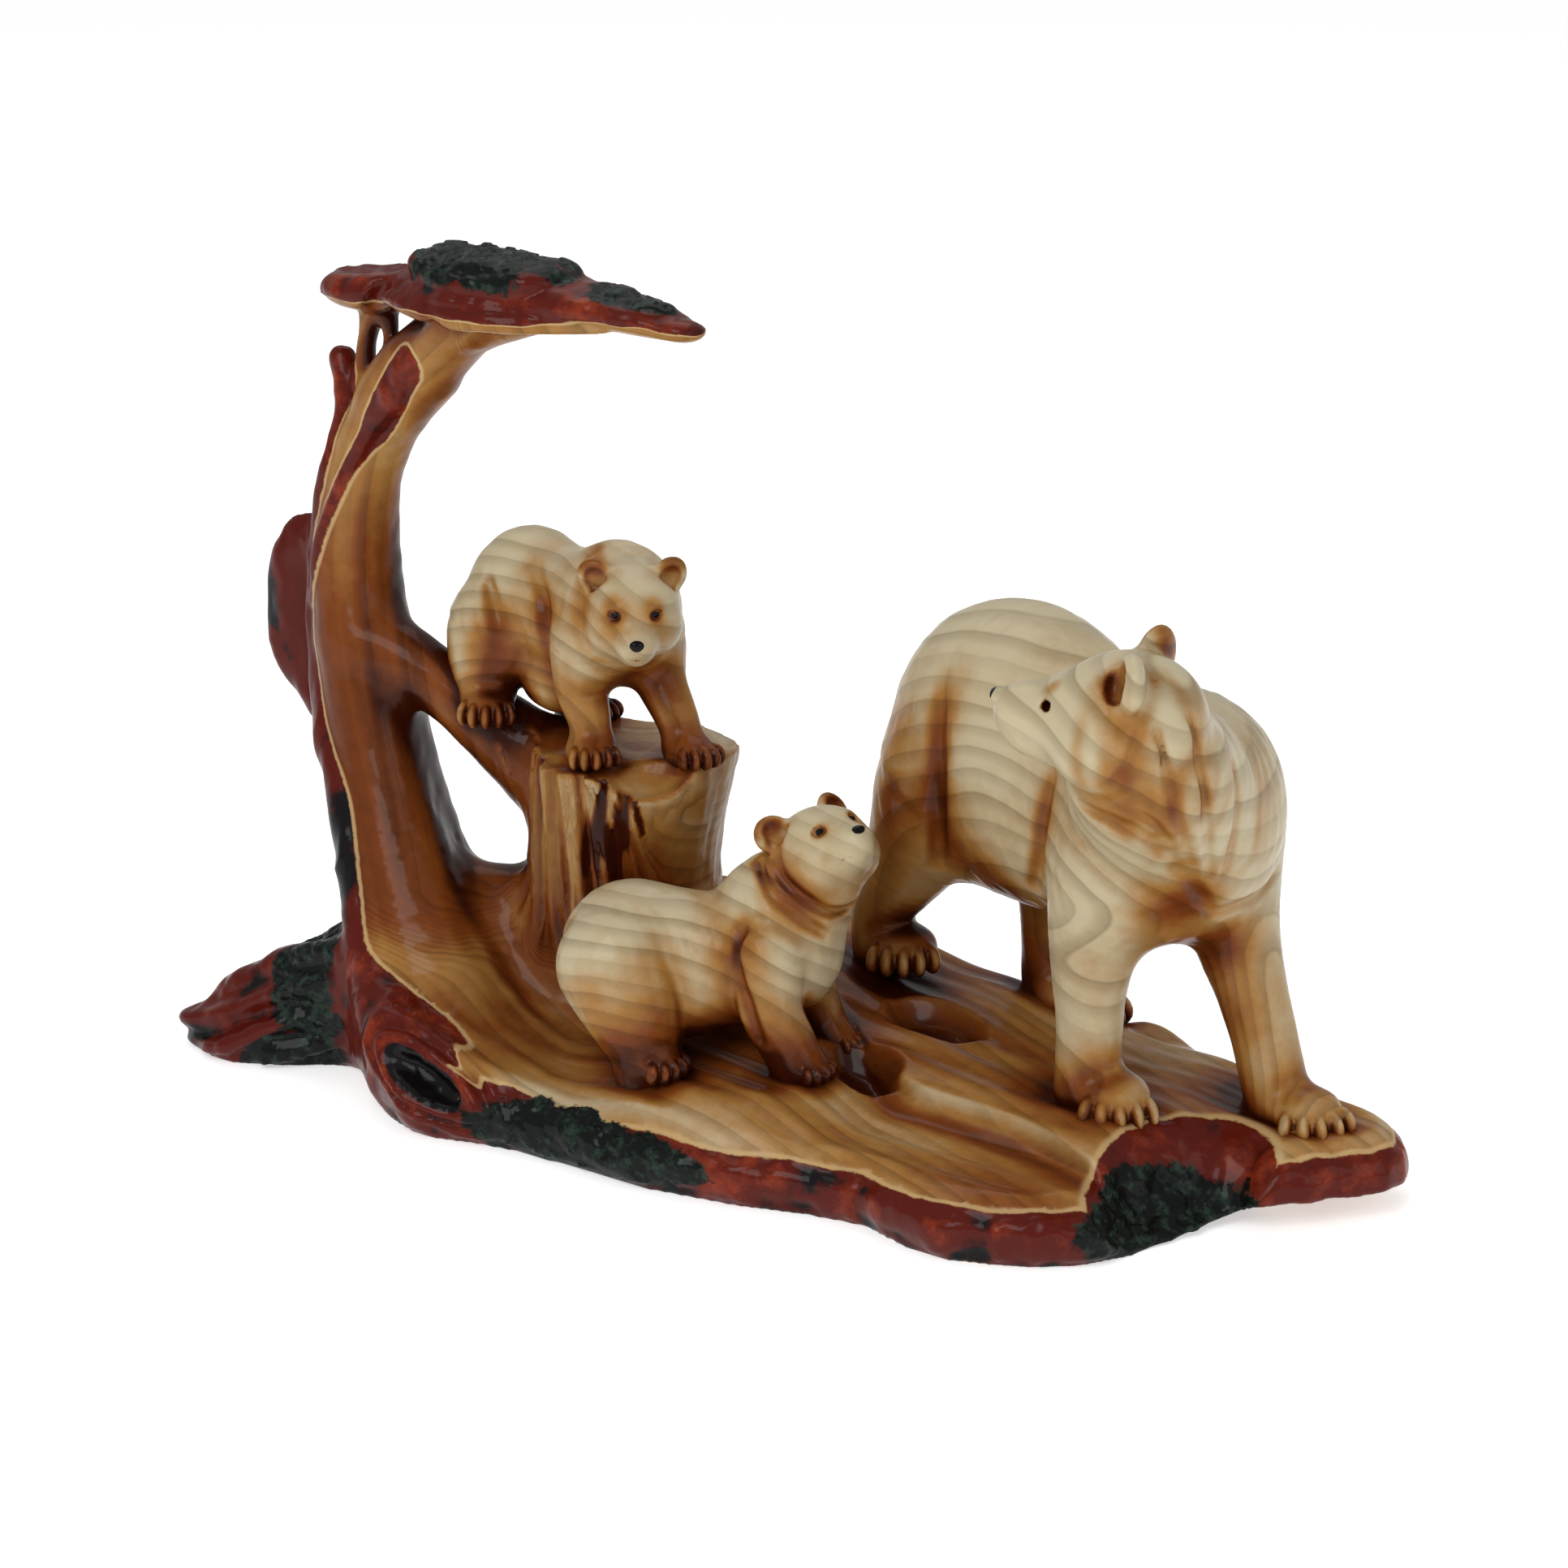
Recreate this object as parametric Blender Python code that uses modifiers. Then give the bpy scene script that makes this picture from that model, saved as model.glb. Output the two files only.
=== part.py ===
# Mother bear with her two cubs on a piece of a fallen tree, cast in one piece.
# A thin base with a wandering outline carries the mother at the right, one cub
# at the front, a stump with the other cub on it, and a bent trunk at the left
# whose crown reaches over the stump.
# Metres, +Z up. The origin is on the underside, under the middle of the piece.

import math

import bmesh
import bpy
from mathutils import Matrix, Vector

# Sizes of the base
BASE_LENGTH = 0.236
BASE_DEPTH = 0.104
BASE_THICKNESS = 0.0125
BACK_RISE = 0.015
TRUNK_SWEEP = 0.009
PATH_RISE = 0.003
TERRACE_STEP = 0.0022
HOLLOW_DEPTH = 0.003
RIM_DROP = 0.0045
RIM_WIDTH = 0.007
TIP_UNDERCUT = 0.0055

# Sizes of what stands on it
MOTHER_LENGTH = 0.100
LOW_CUB_LENGTH = 0.058
HIGH_CUB_LENGTH = 0.059
TREE_HEIGHT = 0.163
STUMP_HEIGHT = 0.0674
STUMP_RADIUS = 0.0188

# How finely the skin of the casting is drawn
SKIN_VOXEL = 0.0011
SKIN_TRIANGLES = 9400
SKIN_SMOOTHING = 4
GRID_PITCH = 0.0022
SINK = 0.004

# Places on the base, in shares of its length and depth from the middle
MOTHER_PLACE = (0.242, 0.25)
LOW_CUB_PLACE = (-0.013, -0.14)
HIGH_CUB_PLACE = (-0.229, 0.019)
STUMP_PLACE = (-0.172, 0.038)
STUMP_FOOT_PLACE = (-0.220, 0.087)
TREE_PLACE = (-0.339, -0.154)

# Turns about the vertical, in degrees, and the colour of the finish
MOTHER_TURN = -17
LOW_CUB_TURN = 31
HIGH_CUB_TURN = -8
WOOD_COLOUR = (0.52, 0.31, 0.14, 1.0)
WOOD_ROUGHNESS = 0.35

# The outline of the base, in percent of its length and depth from the middle,
# from the tip of the root along the front to the right and back along the rear
OUTLINE = [
    (-51, -38), (-47, -43), (-42, -38), (-37, -31), (-32, -35), (-29, -42), (-25, -47),
    (-20, -48), (-13, -43), (-6, -43), (1, -42), (7, -39), (14, -35), (18, -33), (22, -36),
    (27, -36), (31, -32), (36, -23), (39, -10), (41, 4), (45, 15), (48, 23), (49, 32),
    (47, 39), (42, 43), (36, 41), (31, 44), (25, 50), (17, 52), (8, 48), (0, 46),
    (-8, 47), (-18, 44), (-26, 38), (-35, 29), (-42, 13), (-46, -4), (-48, -19), (-51, -31),
]

# The terrace line, as percent of the length against percent of the depth
TERRACE = [(4, 4), (10, -4), (15, -8), (25, -10), (37, -13), (47, -15)]

# Hollows beside the terrace: place and half width, in the same percents
HOLLOWS = [(10.2, 13.5, 4.2, 5.8), (8.9, -5.8, 3.4, 4.8)]


def clear_scene():
    for item in list(bpy.data.objects):
        bpy.data.objects.remove(item, do_unlink=True)


def smooth_step(value):
    value = min(max(value, 0.0), 1.0)
    return value * value * (3 - 2 * value)


def on_base(share_x, share_y):
    return share_x * BASE_LENGTH, share_y * BASE_DEPTH


def outline_points():
    return [on_base(x / 100, y / 100) for x, y in OUTLINE]


def rim_distance(x, y, points):
    # Distance from a point to the outline
    best = BASE_LENGTH
    for (ax, ay), (bx, by) in zip(points, points[1:] + points[:1]):
        along_x, along_y = bx - ax, by - ay
        length = along_x ** 2 + along_y ** 2
        share = ((x - ax) * along_x + (y - ay) * along_y) / length
        share = min(max(share, 0.0), 1.0)
        best = min(best, math.hypot(x - ax - share * along_x, y - ay - share * along_y))
    return best


def terrace_line(share_x):
    # Height of the terrace line across the base, straight between its points
    if share_x <= TERRACE[0][0]:
        return TERRACE[0][1]
    for (ax, ay), (bx, by) in zip(TERRACE, TERRACE[1:]):
        if share_x <= bx:
            return ay + (by - ay) * (share_x - ax) / (bx - ax)
    return TERRACE[-1][1]


def ground_height(x, y):
    # The wood of the base: level in front, rising to the back left, swept up
    # to the trunk, with a low terrace and two hollows
    px = 100 * x / BASE_LENGTH
    py = 100 * y / BASE_DEPTH
    path = smooth_step((py + 15) / 13) * smooth_step((42 - px) / 13) * smooth_step((52 - py) / 19)
    rise = smooth_step((28 - px) / 42) * smooth_step((py + 21) / 42) * smooth_step((px + 36) / 15)
    sweep = smooth_step((-8 - px) / 23) * smooth_step((6 - py) / 15) * smooth_step((px + 47) / 11)
    terrace = smooth_step((py - terrace_line(px)) / 3.4) * smooth_step((px - 3) / 8)
    terrace *= smooth_step((50 - py) / 10)
    height = BASE_THICKNESS + PATH_RISE * path + BACK_RISE * rise + TRUNK_SWEEP * sweep
    height += TERRACE_STEP * terrace - RIM_DROP * smooth_step((-38 - px) / 8)
    for centre_x, centre_y, half_x, half_y in HOLLOWS:
        away = ((px - centre_x) / half_x) ** 2 + ((py - centre_y) / half_y) ** 2
        height -= HOLLOW_DEPTH * math.exp(-away)
    return height


def evaluated_mesh(item):
    bpy.context.view_layer.update()
    depsgraph = bpy.context.evaluated_depsgraph_get()
    mesh = bpy.data.meshes.new_from_object(item.evaluated_get(depsgraph))
    mesh.transform(item.matrix_world)
    return mesh


def take_into(body, item):
    # Adds an object's evaluated mesh to the body, welded, and removes the object
    mesh = evaluated_mesh(item)
    piece = bmesh.new()
    piece.from_mesh(mesh)
    bmesh.ops.remove_doubles(piece, verts=piece.verts, dist=1e-6)
    bmesh.ops.recalc_face_normals(piece, faces=piece.faces)
    piece.to_mesh(mesh)
    piece.free()
    body.from_mesh(mesh)
    bpy.data.meshes.remove(mesh)
    bpy.data.objects.remove(item, do_unlink=True)


def ball_mesh():
    # The ball that every lump is stretched from
    ball = bmesh.new()
    bmesh.ops.create_uvsphere(ball, u_segments=28, v_segments=18, radius=1)
    mesh = bpy.data.meshes.new("ball")
    ball.to_mesh(mesh)
    ball.free()
    return mesh


def spin_matrix(turn):
    # Yaw, then pitch upward, then roll, in degrees
    yaw, pitch, roll = (math.radians(angle) for angle in turn)
    return Matrix.Rotation(yaw, 4, "Z") @ Matrix.Rotation(-pitch, 4, "Y") @ Matrix.Rotation(roll, 4, "X")


def lump(body, frame, centre, radii, turn=(0, 0, 0)):
    # An egg-shaped lump, turned in the frame's own axes
    mesh = bpy.data.meshes["ball"].copy()
    mesh.transform(frame @ Matrix.Translation(centre) @ spin_matrix(turn) @ Matrix.Diagonal((*radii, 1)))
    body.from_mesh(mesh)
    bpy.data.meshes.remove(mesh)


def limbs(body, frame, strands):
    # Round limbs whose thickness changes along a smooth path, with round ends
    scale = frame.to_scale().x
    data = bpy.data.curves.new("limbs", "CURVE")
    data.dimensions = "3D"
    data.bevel_depth = 1
    data.bevel_resolution = 4
    data.resolution_u = 6
    data.use_fill_caps = True
    for strand in strands:
        spline = data.splines.new("BEZIER")
        spline.bezier_points.add(len(strand) - 1)
        for point, (x, y, z, radius) in zip(spline.bezier_points, strand):
            point.co = frame @ Vector((x, y, z))
            point.radius = radius * scale
            point.handle_left_type = "AUTO"
            point.handle_right_type = "AUTO"
        for x, y, z, radius in (strand[0], strand[-1]):
            lump(body, frame, (x, y, z), (radius * 1.01,) * 3)
    item = bpy.data.objects.new("limbs", data)
    bpy.context.scene.collection.objects.link(item)
    take_into(body, item)


def paw(body, frame, centre, size, pitch):
    # A pad with five toes fanned out in front of it
    lump(body, frame, centre, (size, 0.9 * size, 0.6 * size), (0, pitch, 0))
    for place in range(-2, 3):
        fan = math.radians(24 * place)
        x = centre[0] + 0.86 * size * math.cos(fan)
        y = centre[1] + 0.94 * size * math.sin(fan)
        z = centre[2] - 0.2 * size
        lump(body, frame, (x, y, z), (0.42 * size, 0.22 * size, 0.34 * size), (12 * place, -25, 0))


def head(body, frame, centre, size, turn, nose_lift=0.0, reach=1.0, ear_size=1.1):
    # Skull, cheeks, muzzle, jaw, nose and ears, in shares of the skull's radius
    own = frame @ Matrix.Translation(centre) @ spin_matrix(turn) @ Matrix.Scale(size, 4)
    lump(body, own, (0, 0, 0), (1.0, 0.92, 0.9))
    lump(body, own, (-0.25, 0, 0.1), (0.9, 0.95, 0.85))
    lump(body, own, (0.62 * reach, 0, -0.2 + nose_lift), (0.6, 0.5, 0.44))
    lump(body, own, (0.75 * reach, 0, -0.28 + nose_lift), (0.72, 0.42, 0.38))
    lump(body, own, (1.15 * reach, 0, -0.26 + nose_lift), (0.38, 0.34, 0.32))
    lump(body, own, (0.8 * reach, 0, -0.52 + nose_lift / 2), (0.55, 0.32, 0.22))
    lump(body, own, (1.42 * reach, 0, -0.14 + nose_lift), (0.18, 0.22, 0.17))
    for side in (1, -1):
        lump(body, own, (0.15, 0.5 * side, -0.32), (0.62, 0.42, 0.5))
        ear = (0.2 * ear_size, 0.36 * ear_size, 0.4 * ear_size)
        lump(body, own, (-0.22, 0.8 * side, 0.76), ear, (20 * side, 0, -28 * side))


def figure_frame(place, turn, length, foot_height):
    # Places a figure whose shape is given in percent of its length
    x, y = on_base(*place)
    spin = Matrix.Rotation(math.radians(turn), 4, "Z")
    return Matrix.Translation((x, y, foot_height)) @ spin @ Matrix.Scale(length / 100, 4)


def mother(body):
    x, y = on_base(*MOTHER_PLACE)
    frame = figure_frame(MOTHER_PLACE, MOTHER_TURN, MOTHER_LENGTH, ground_height(x, y))
    lump(body, frame, (-32.5, 0, 54.5), (25.5, 21.5, 27))
    lump(body, frame, (-22, 0, 54), (26, 20, 26))
    lump(body, frame, (-6, 0, 50), (27, 20.5, 22.5))
    lump(body, frame, (11, 0, 52), (21, 19, 22.5))
    lump(body, frame, (18, -1.5, 52), (17.5, 17, 20))
    limbs(body, frame, [
        [(17, 0, 58, 17), (26, -11, 62, 17), (34, -22, 70, 15)],
        [(15, -13, 44, 12.5), (12, -15.5, 28, 8.3), (12, -16, 14, 6.4), (12, -16, 0, 6.6)],
        [(17, 10, 44, 11.5), (22.5, 10.5, 28, 8), (28.5, 12, 12, 6.4), (32, 13, -1, 6.4)],
        [(-39, -9, 46, 15.5), (-46, -13, 32, 9.8), (-53, -16, 18, 6), (-53, -16, 10, 6)],
        [(-34, 9, 46, 15), (-31, 10, 30, 9.2), (-32, 10, 15, 6.4), (-31, 10, 2, 6.4)],
    ])
    paw(body, frame, (15, -16, 1), 8.5, -8)
    paw(body, frame, (35.5, 13.5, -2), 8.5, -4)
    paw(body, frame, (-48.5, -15.5, 11), 7.4, -4)
    paw(body, frame, (-25, 10.5, 3), 8.5, -8)
    head(body, frame, (36, -29, 78), 13, (-142, 6, 0), nose_lift=0.16, reach=1.18, ear_size=1.2)


def low_cub(body):
    x, y = on_base(*LOW_CUB_PLACE)
    frame = figure_frame(LOW_CUB_PLACE, LOW_CUB_TURN, LOW_CUB_LENGTH, ground_height(x, y))
    lump(body, frame, (-32, 0, 42.5), (24, 21, 23.5))
    lump(body, frame, (-7, 0, 40), (29, 21, 22.5))
    lump(body, frame, (15.5, 0, 47.5), (21.5, 20, 25))
    lump(body, frame, (-55, 0, 47), (5, 5, 7))
    limbs(body, frame, [
        [(15.5, 0, 58, 19), (24, -1, 67, 17), (29, -2, 73, 15)],
        [(15.5, -14, 46, 13), (19, -15.5, 25, 10), (28.5, -15, 6, 8.6), (31, -15, -6, 9)],
        [(19, 14, 42, 11.5), (27, 15, 25, 9), (36, 14, 8, 8), (38, 14, -6, 8.5)],
        [(-34, -14, 35, 19), (-24, -16, 25, 14.7), (-27, -16, 8, 10.7), (-27, -16, -8, 10.5)],
        [(-38, 14, 35, 17), (-31, 16, 22, 12), (-34, 16, 8, 8.8), (-34, 16, -4, 8.8)],
    ])
    head(body, frame, (30, -2, 79), 16.2, (-51, 36, 10), reach=0.92)


def high_cub(body):
    frame = figure_frame(HIGH_CUB_PLACE, HIGH_CUB_TURN, HIGH_CUB_LENGTH, STUMP_HEIGHT)
    lump(body, frame, (-23, 0, 40), (22, 21, 25.5))
    lump(body, frame, (2, 0, 42), (25.5, 20, 22))
    lump(body, frame, (18.5, 0, 45), (19.5, 18.5, 24))
    limbs(body, frame, [
        [(22, -2, 50, 18.5), (29, -5, 50, 17), (34, -8, 49, 14.5)],
        [(20, -13.5, 38, 13.5), (17, -14.5, 25, 9.4), (20, -14.5, 13, 7.4), (22, -14.5, 2, 7.4)],
        [(24, 8.5, 37, 12.7), (30.5, 8, 25, 9), (39, 7, 13, 7.3), (42, 7, 2, 7)],
        [(-25, -13.5, 33, 17.8), (-24, -16, 21, 12.2), (-30.5, -17, 11, 8), (-30.5, -17, 2, 7.3)],
        [(-22, 13.5, 32, 17), (-15, 15, 21, 12), (-20, 15, 11, 8.2), (-20, 15, 2, 7.6)],
    ])
    paw(body, frame, (25.5, -14.5, 3.5), 8.5, 0)
    paw(body, frame, (46.5, 7, 3.5), 8.5, 0)
    paw(body, frame, (-25.5, -17, 7), 8.5, 0)
    paw(body, frame, (-13.5, 15, 4.5), 8.5, 0)
    head(body, frame, (37, -9.5, 49), 15.4, (-39, 2, 0), reach=0.95)


def tree_frame():
    # The tree is given in percent of its height, from the middle of its foot
    x, y = on_base(*TREE_PLACE)
    return Matrix.Translation((x, y, 0)) @ Matrix.Scale(TREE_HEIGHT / 100, 4)


def tree(body):
    frame = tree_frame()
    strands = [
        # wood face of the trunk, bent over at its top
        [(7.4, -4.9, 7.4, 10.4), (0.6, -3.1, 19.6, 7.4), (-4.9, -1.2, 31.9, 5.6), (-9.8, 0.6, 45.4, 5.2),
         (-12.6, 1.2, 60, 4.3), (-11, 1.2, 71.2, 3.5), (-7.7, 1.2, 79.1, 3.1), (-3.1, 1.2, 85.6, 3.1),
         (2.5, 1.8, 89.9, 3.1)],
        # its back
        [(0, 4.9, 7.4, 8), (-3.7, 4.9, 22, 5.2), (-8, 4.9, 36.8, 4), (-11.3, 4.9, 51.5, 3.7),
         (-12.3, 4.9, 63.8, 3.4), (-10.4, 3.7, 72.4, 2.8)],
        # bark edge from the front lobe up to the broken stub
        [(16, -17.2, 6.1, 5.5), (8.6, -14.7, 9.8, 4.9), (0, -8.6, 14.7, 3.7), (-4.9, -4.3, 23.3, 3.1),
         (-9.2, -1.2, 33.1, 2.8), (-14.1, 1.2, 41.7, 2.8), (-16.6, 2.5, 55.2, 2.5), (-14.4, 2.5, 65, 2.2),
         (-12.3, 2.5, 72.4, 1.9), (-12, 2.5, 79.8, 1.6), (-13.8, 2.5, 85.6, 1.6)],
        # bark flange at the left
        [(-14.7, 1.8, 38, 2.2), (-22.7, 4.3, 44.2, 2.4), (-27, 4.9, 51.5, 2.4), (-27.6, 4.9, 57, 1.9),
         (-20.2, 3.1, 61.3, 1.7), (-14.7, 2.5, 67.5, 1.7)],
        # flare that carries the crown, and two thin struts beside it
        [(-4.9, 1.2, 81.6, 2.8), (0, 1.2, 86.8, 3.2), (6.7, 1.8, 91.7, 3.4), (14.7, 1.8, 94.2, 2.8),
         (22.7, 1.8, 95.4, 1.9)],
        [(-9.8, 2.5, 84.7, 1.5), (-9.2, 2.5, 89, 1.5), (-8, 2.5, 93.3, 2.4)],
        [(-4.9, 1.8, 84.7, 1.4), (-5.5, 2.5, 89.6, 1.3), (-6.1, 2.5, 93.3, 1.9)],
        # root at the left
        [(0, -4.9, 8.6, 8), (-7.4, -7.4, 6.7, 6.1), (-14.1, -10.4, 4.3, 4.6), (-20.2, -13.5, 2.5, 3.4)],
    ]
    limbs(body, frame, strands)
    lump(body, frame, (-20.2, 3.4, 52.8), (6.8, 2, 11.7), (14, 0, 0))
    lump(body, frame, (12.3, 1.8, 96.3), (16.6, 9.2, 3.7), (0, -4, 0))
    lump(body, frame, (-1.8, 1.8, 94.8), (9.2, 6.8, 2.8), (0, 4, 0))
    lump(body, frame, (26.4, 1.2, 96.3), (11.7, 4.9, 2), (0, -8, 0))


def stump(body):
    # Flat sawn top under the high cub, wider at its foot
    x, y = on_base(*STUMP_PLACE)
    foot_x, foot_y = on_base(*STUMP_FOOT_PLACE)
    sections = [
        (foot_x, foot_y, BASE_THICKNESS / 2, 1.28 * STUMP_RADIUS),
        (0.45 * foot_x + 0.55 * x, 0.45 * foot_y + 0.55 * y, 0.45 * STUMP_HEIGHT, 1.06 * STUMP_RADIUS),
        (0.15 * foot_x + 0.85 * x, 0.15 * foot_y + 0.85 * y, 0.75 * STUMP_HEIGHT, 1.02 * STUMP_RADIUS),
        (x, y, STUMP_HEIGHT, STUMP_RADIUS),
    ]
    data = bpy.data.curves.new("stump", "CURVE")
    data.dimensions = "3D"
    data.bevel_depth = 1
    data.bevel_resolution = 6
    data.use_fill_caps = True
    spline = data.splines.new("POLY")
    spline.points.add(len(sections) - 1)
    for point, (px, py, pz, radius) in zip(spline.points, sections):
        point.co = (px, py, pz, 1)
        point.radius = radius
    item = bpy.data.objects.new("stump", data)
    bpy.context.scene.collection.objects.link(item)
    take_into(body, item)


def fork_and_web(body):
    # The branch from the trunk to the stump, and the wall under the window
    # between them, both tied to where trunk and stump stand
    frame = tree_frame()
    start = frame @ Vector((-10.4, 1.2, 51.5))
    bend = frame @ Vector((-4.9, 2.5, 49.7))
    x, y = on_base(*STUMP_PLACE)
    target = Vector((x, y, STUMP_HEIGHT - 0.6 * STUMP_RADIUS))
    trunk_radius = 0.043 * TREE_HEIGHT
    path = [(*start, trunk_radius), (*bend, 0.95 * trunk_radius)]
    for share, thick, arch in ((0.24, 0.95, 0.10), (0.43, 1.2, 0.02), (0.62, 1.5, -0.02)):
        point = bend.lerp(target, share)
        path.append((point.x, point.y, point.z + arch * STUMP_RADIUS, thick * trunk_radius))
    limbs(body, Matrix.Identity(4), [path])
    foot_x, foot_y = on_base(*STUMP_FOOT_PLACE)
    foot = Vector((foot_x, foot_y, 0.33 * STUMP_HEIGHT))
    trunk = frame @ Vector((-1.2, 3.1, 13))
    middle = trunk.lerp(foot, 0.5)
    span = (foot - trunk).length
    turn = math.degrees(math.atan2(foot.y - trunk.y, foot.x - trunk.x))
    lump(body, Matrix.Identity(4), middle, (0.75 * span, 0.55 * STUMP_RADIUS, 0.98 * STUMP_RADIUS), (turn, 0, 0))


def base(body, working):
    # A block whose top follows the ground, cut to the outline
    points = outline_points()
    columns = int(BASE_LENGTH / GRID_PITCH) + 8
    rows = int(BASE_DEPTH / GRID_PITCH) + 8
    mesh = bmesh.new()
    bmesh.ops.create_grid(mesh, x_segments=columns, y_segments=rows, size=0.5)
    for vertex in mesh.verts:
        x = vertex.co.x * (BASE_LENGTH + 8 * GRID_PITCH)
        y = vertex.co.y * (BASE_DEPTH + 8 * GRID_PITCH)
        edge = smooth_step(1 - rim_distance(x, y, points) / RIM_WIDTH)
        vertex.co = (x, y, ground_height(x, y) - RIM_DROP * edge)
    lower = bmesh.ops.extrude_face_region(mesh, geom=list(mesh.faces), use_keep_orig=True)
    for vertex in [item for item in lower["geom"] if isinstance(item, bmesh.types.BMVert)]:
        tip = smooth_step((100 * vertex.co.x / BASE_LENGTH - 37) / 6)
        vertex.co.z = (TIP_UNDERCUT + SINK) * tip - SINK
    bmesh.ops.recalc_face_normals(mesh, faces=mesh.faces)
    data = bpy.data.meshes.new("ground")
    mesh.to_mesh(data)
    mesh.free()
    ground = bpy.data.objects.new("ground", data)
    bpy.context.scene.collection.objects.link(ground)

    flat = bpy.data.curves.new("base_outline", "CURVE")
    flat.dimensions = "2D"
    flat.fill_mode = "BOTH"
    flat.extrude = BASE_THICKNESS + BACK_RISE + TRUNK_SWEEP + TERRACE_STEP + SINK
    flat.resolution_u = 4
    spline = flat.splines.new("BEZIER")
    spline.bezier_points.add(len(points) - 1)
    spline.use_cyclic_u = True
    for point, (x, y) in zip(spline.bezier_points, points):
        point.co = (x, y, 0)
        point.handle_left_type = "AUTO"
        point.handle_right_type = "AUTO"
    curve = bpy.data.objects.new("base_outline", flat)
    bpy.context.scene.collection.objects.link(curve)
    prism_mesh = bmesh.new()
    take_into(prism_mesh, curve)
    prism_data = bpy.data.meshes.new("outline_prism")
    prism_mesh.to_mesh(prism_data)
    prism_mesh.free()
    prism = bpy.data.objects.new("outline_prism", prism_data)
    working.objects.link(prism)
    trim = ground.modifiers.new("outline", "BOOLEAN")
    trim.operation = "INTERSECT"
    trim.object = prism
    take_into(body, ground)
    bpy.data.objects.remove(prism, do_unlink=True)


def finish():
    material = bpy.data.materials.new("carved_wood_finish")
    material.use_nodes = True
    surface = material.node_tree.nodes["Principled BSDF"]
    surface.inputs["Base Color"].default_value = WOOD_COLOUR
    surface.inputs["Roughness"].default_value = WOOD_ROUGHNESS
    surface.inputs["Metallic"].default_value = 0.0
    return material


def casting(parts, cutters):
    body = bmesh.new()
    base(body, cutters)
    tree(body)
    stump(body)
    fork_and_web(body)
    mother(body)
    low_cub(body)
    high_cub(body)
    data = bpy.data.meshes.new("bear_family_casting")
    body.to_mesh(data)
    body.free()
    rough = bpy.data.objects.new("bear_family_lumps", data)
    bpy.context.scene.collection.objects.link(rough)

    # One skin over all the lumps, its creases softened
    skin = rough.modifiers.new("skin", "REMESH")
    skin.mode = "VOXEL"
    skin.voxel_size = SKIN_VOXEL
    soften = rough.modifiers.new("soften", "SMOOTH")
    soften.factor = 0.5
    soften.iterations = SKIN_SMOOTHING
    skinned = evaluated_mesh(rough)
    bpy.data.objects.remove(rough, do_unlink=True)
    xs = [vertex.co.x for vertex in skinned.vertices]
    ys = [vertex.co.y for vertex in skinned.vertices]
    middle = Vector(((min(xs) + max(xs)) / 2, (min(ys) + max(ys)) / 2, 0))
    skinned.transform(Matrix.Translation(-middle))

    item = bpy.data.objects.new("bear_family_casting", skinned)
    skinned.materials.clear()
    skinned.materials.append(finish())
    parts.objects.link(item)
    skinned.calc_loop_triangles()
    thin = item.modifiers.new("facets", "DECIMATE")
    thin.ratio = SKIN_TRIANGLES / len(skinned.loop_triangles)

    # The flat underside
    bpy.ops.mesh.primitive_cube_add(size=1)
    floor = bpy.context.object
    floor.name = "floor_cutter"
    floor.scale = (2 * BASE_LENGTH, 3 * BASE_DEPTH, 6 * SINK)
    floor.location = (0, 0, -3 * SINK)
    for owner in list(floor.users_collection):
        owner.objects.unlink(floor)
    cutters.objects.link(floor)
    floor.hide_render = True
    floor.display_type = "WIRE"
    cut = item.modifiers.new("underside", "BOOLEAN")
    cut.operation = "DIFFERENCE"
    cut.object = floor
    return item


clear_scene()
ball_mesh()
part_collection = bpy.data.collections.new("mother_bear_and_cubs_statue")
cutter_collection = bpy.data.collections.new("cutters")
bpy.context.scene.collection.children.link(part_collection)
bpy.context.scene.collection.children.link(cutter_collection)
casting(part_collection, cutter_collection)
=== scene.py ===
import bpy
import math
import numpy as np
from mathutils import Matrix


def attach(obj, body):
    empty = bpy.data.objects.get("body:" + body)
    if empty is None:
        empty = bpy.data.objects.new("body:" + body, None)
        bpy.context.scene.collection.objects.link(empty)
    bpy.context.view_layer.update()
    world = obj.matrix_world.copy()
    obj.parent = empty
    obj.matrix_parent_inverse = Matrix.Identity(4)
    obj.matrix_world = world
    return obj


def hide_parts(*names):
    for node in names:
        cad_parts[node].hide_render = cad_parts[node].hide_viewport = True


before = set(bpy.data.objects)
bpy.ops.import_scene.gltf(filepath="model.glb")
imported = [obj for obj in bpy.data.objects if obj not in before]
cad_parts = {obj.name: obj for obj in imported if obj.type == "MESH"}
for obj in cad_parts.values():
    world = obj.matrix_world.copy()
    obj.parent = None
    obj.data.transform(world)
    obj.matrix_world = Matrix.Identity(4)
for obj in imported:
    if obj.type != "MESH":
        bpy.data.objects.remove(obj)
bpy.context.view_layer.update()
print("frame loaded")

mm = 0.001
drawnToFrame = np.array([6.5, -3.3, 0.0])  # from the drawing's datum to the middle of the part, in mm


# numbers: easing, turns and noise

def ease(t):
    t = np.clip(t, 0, 1)
    return t * t * (3 - 2 * t)  # three t squared less two t cubed


def spin(yaw=0.0, pitch=0.0, roll=0.0):
    # yaw about Z, then pitch lifting X, then roll about X, in degrees
    a, b, c = np.radians([yaw, pitch, roll])
    turn = np.array([[math.cos(a), -math.sin(a), 0], [math.sin(a), math.cos(a), 0], [0, 0, 1]])
    lift = np.array([[math.cos(b), 0, -math.sin(b)], [0, 1, 0], [math.sin(b), 0, math.cos(b)]])
    lean = np.array([[1, 0, 0], [0, math.cos(c), -math.sin(c)], [0, math.sin(c), math.cos(c)]])
    return turn @ lift @ lean


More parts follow.
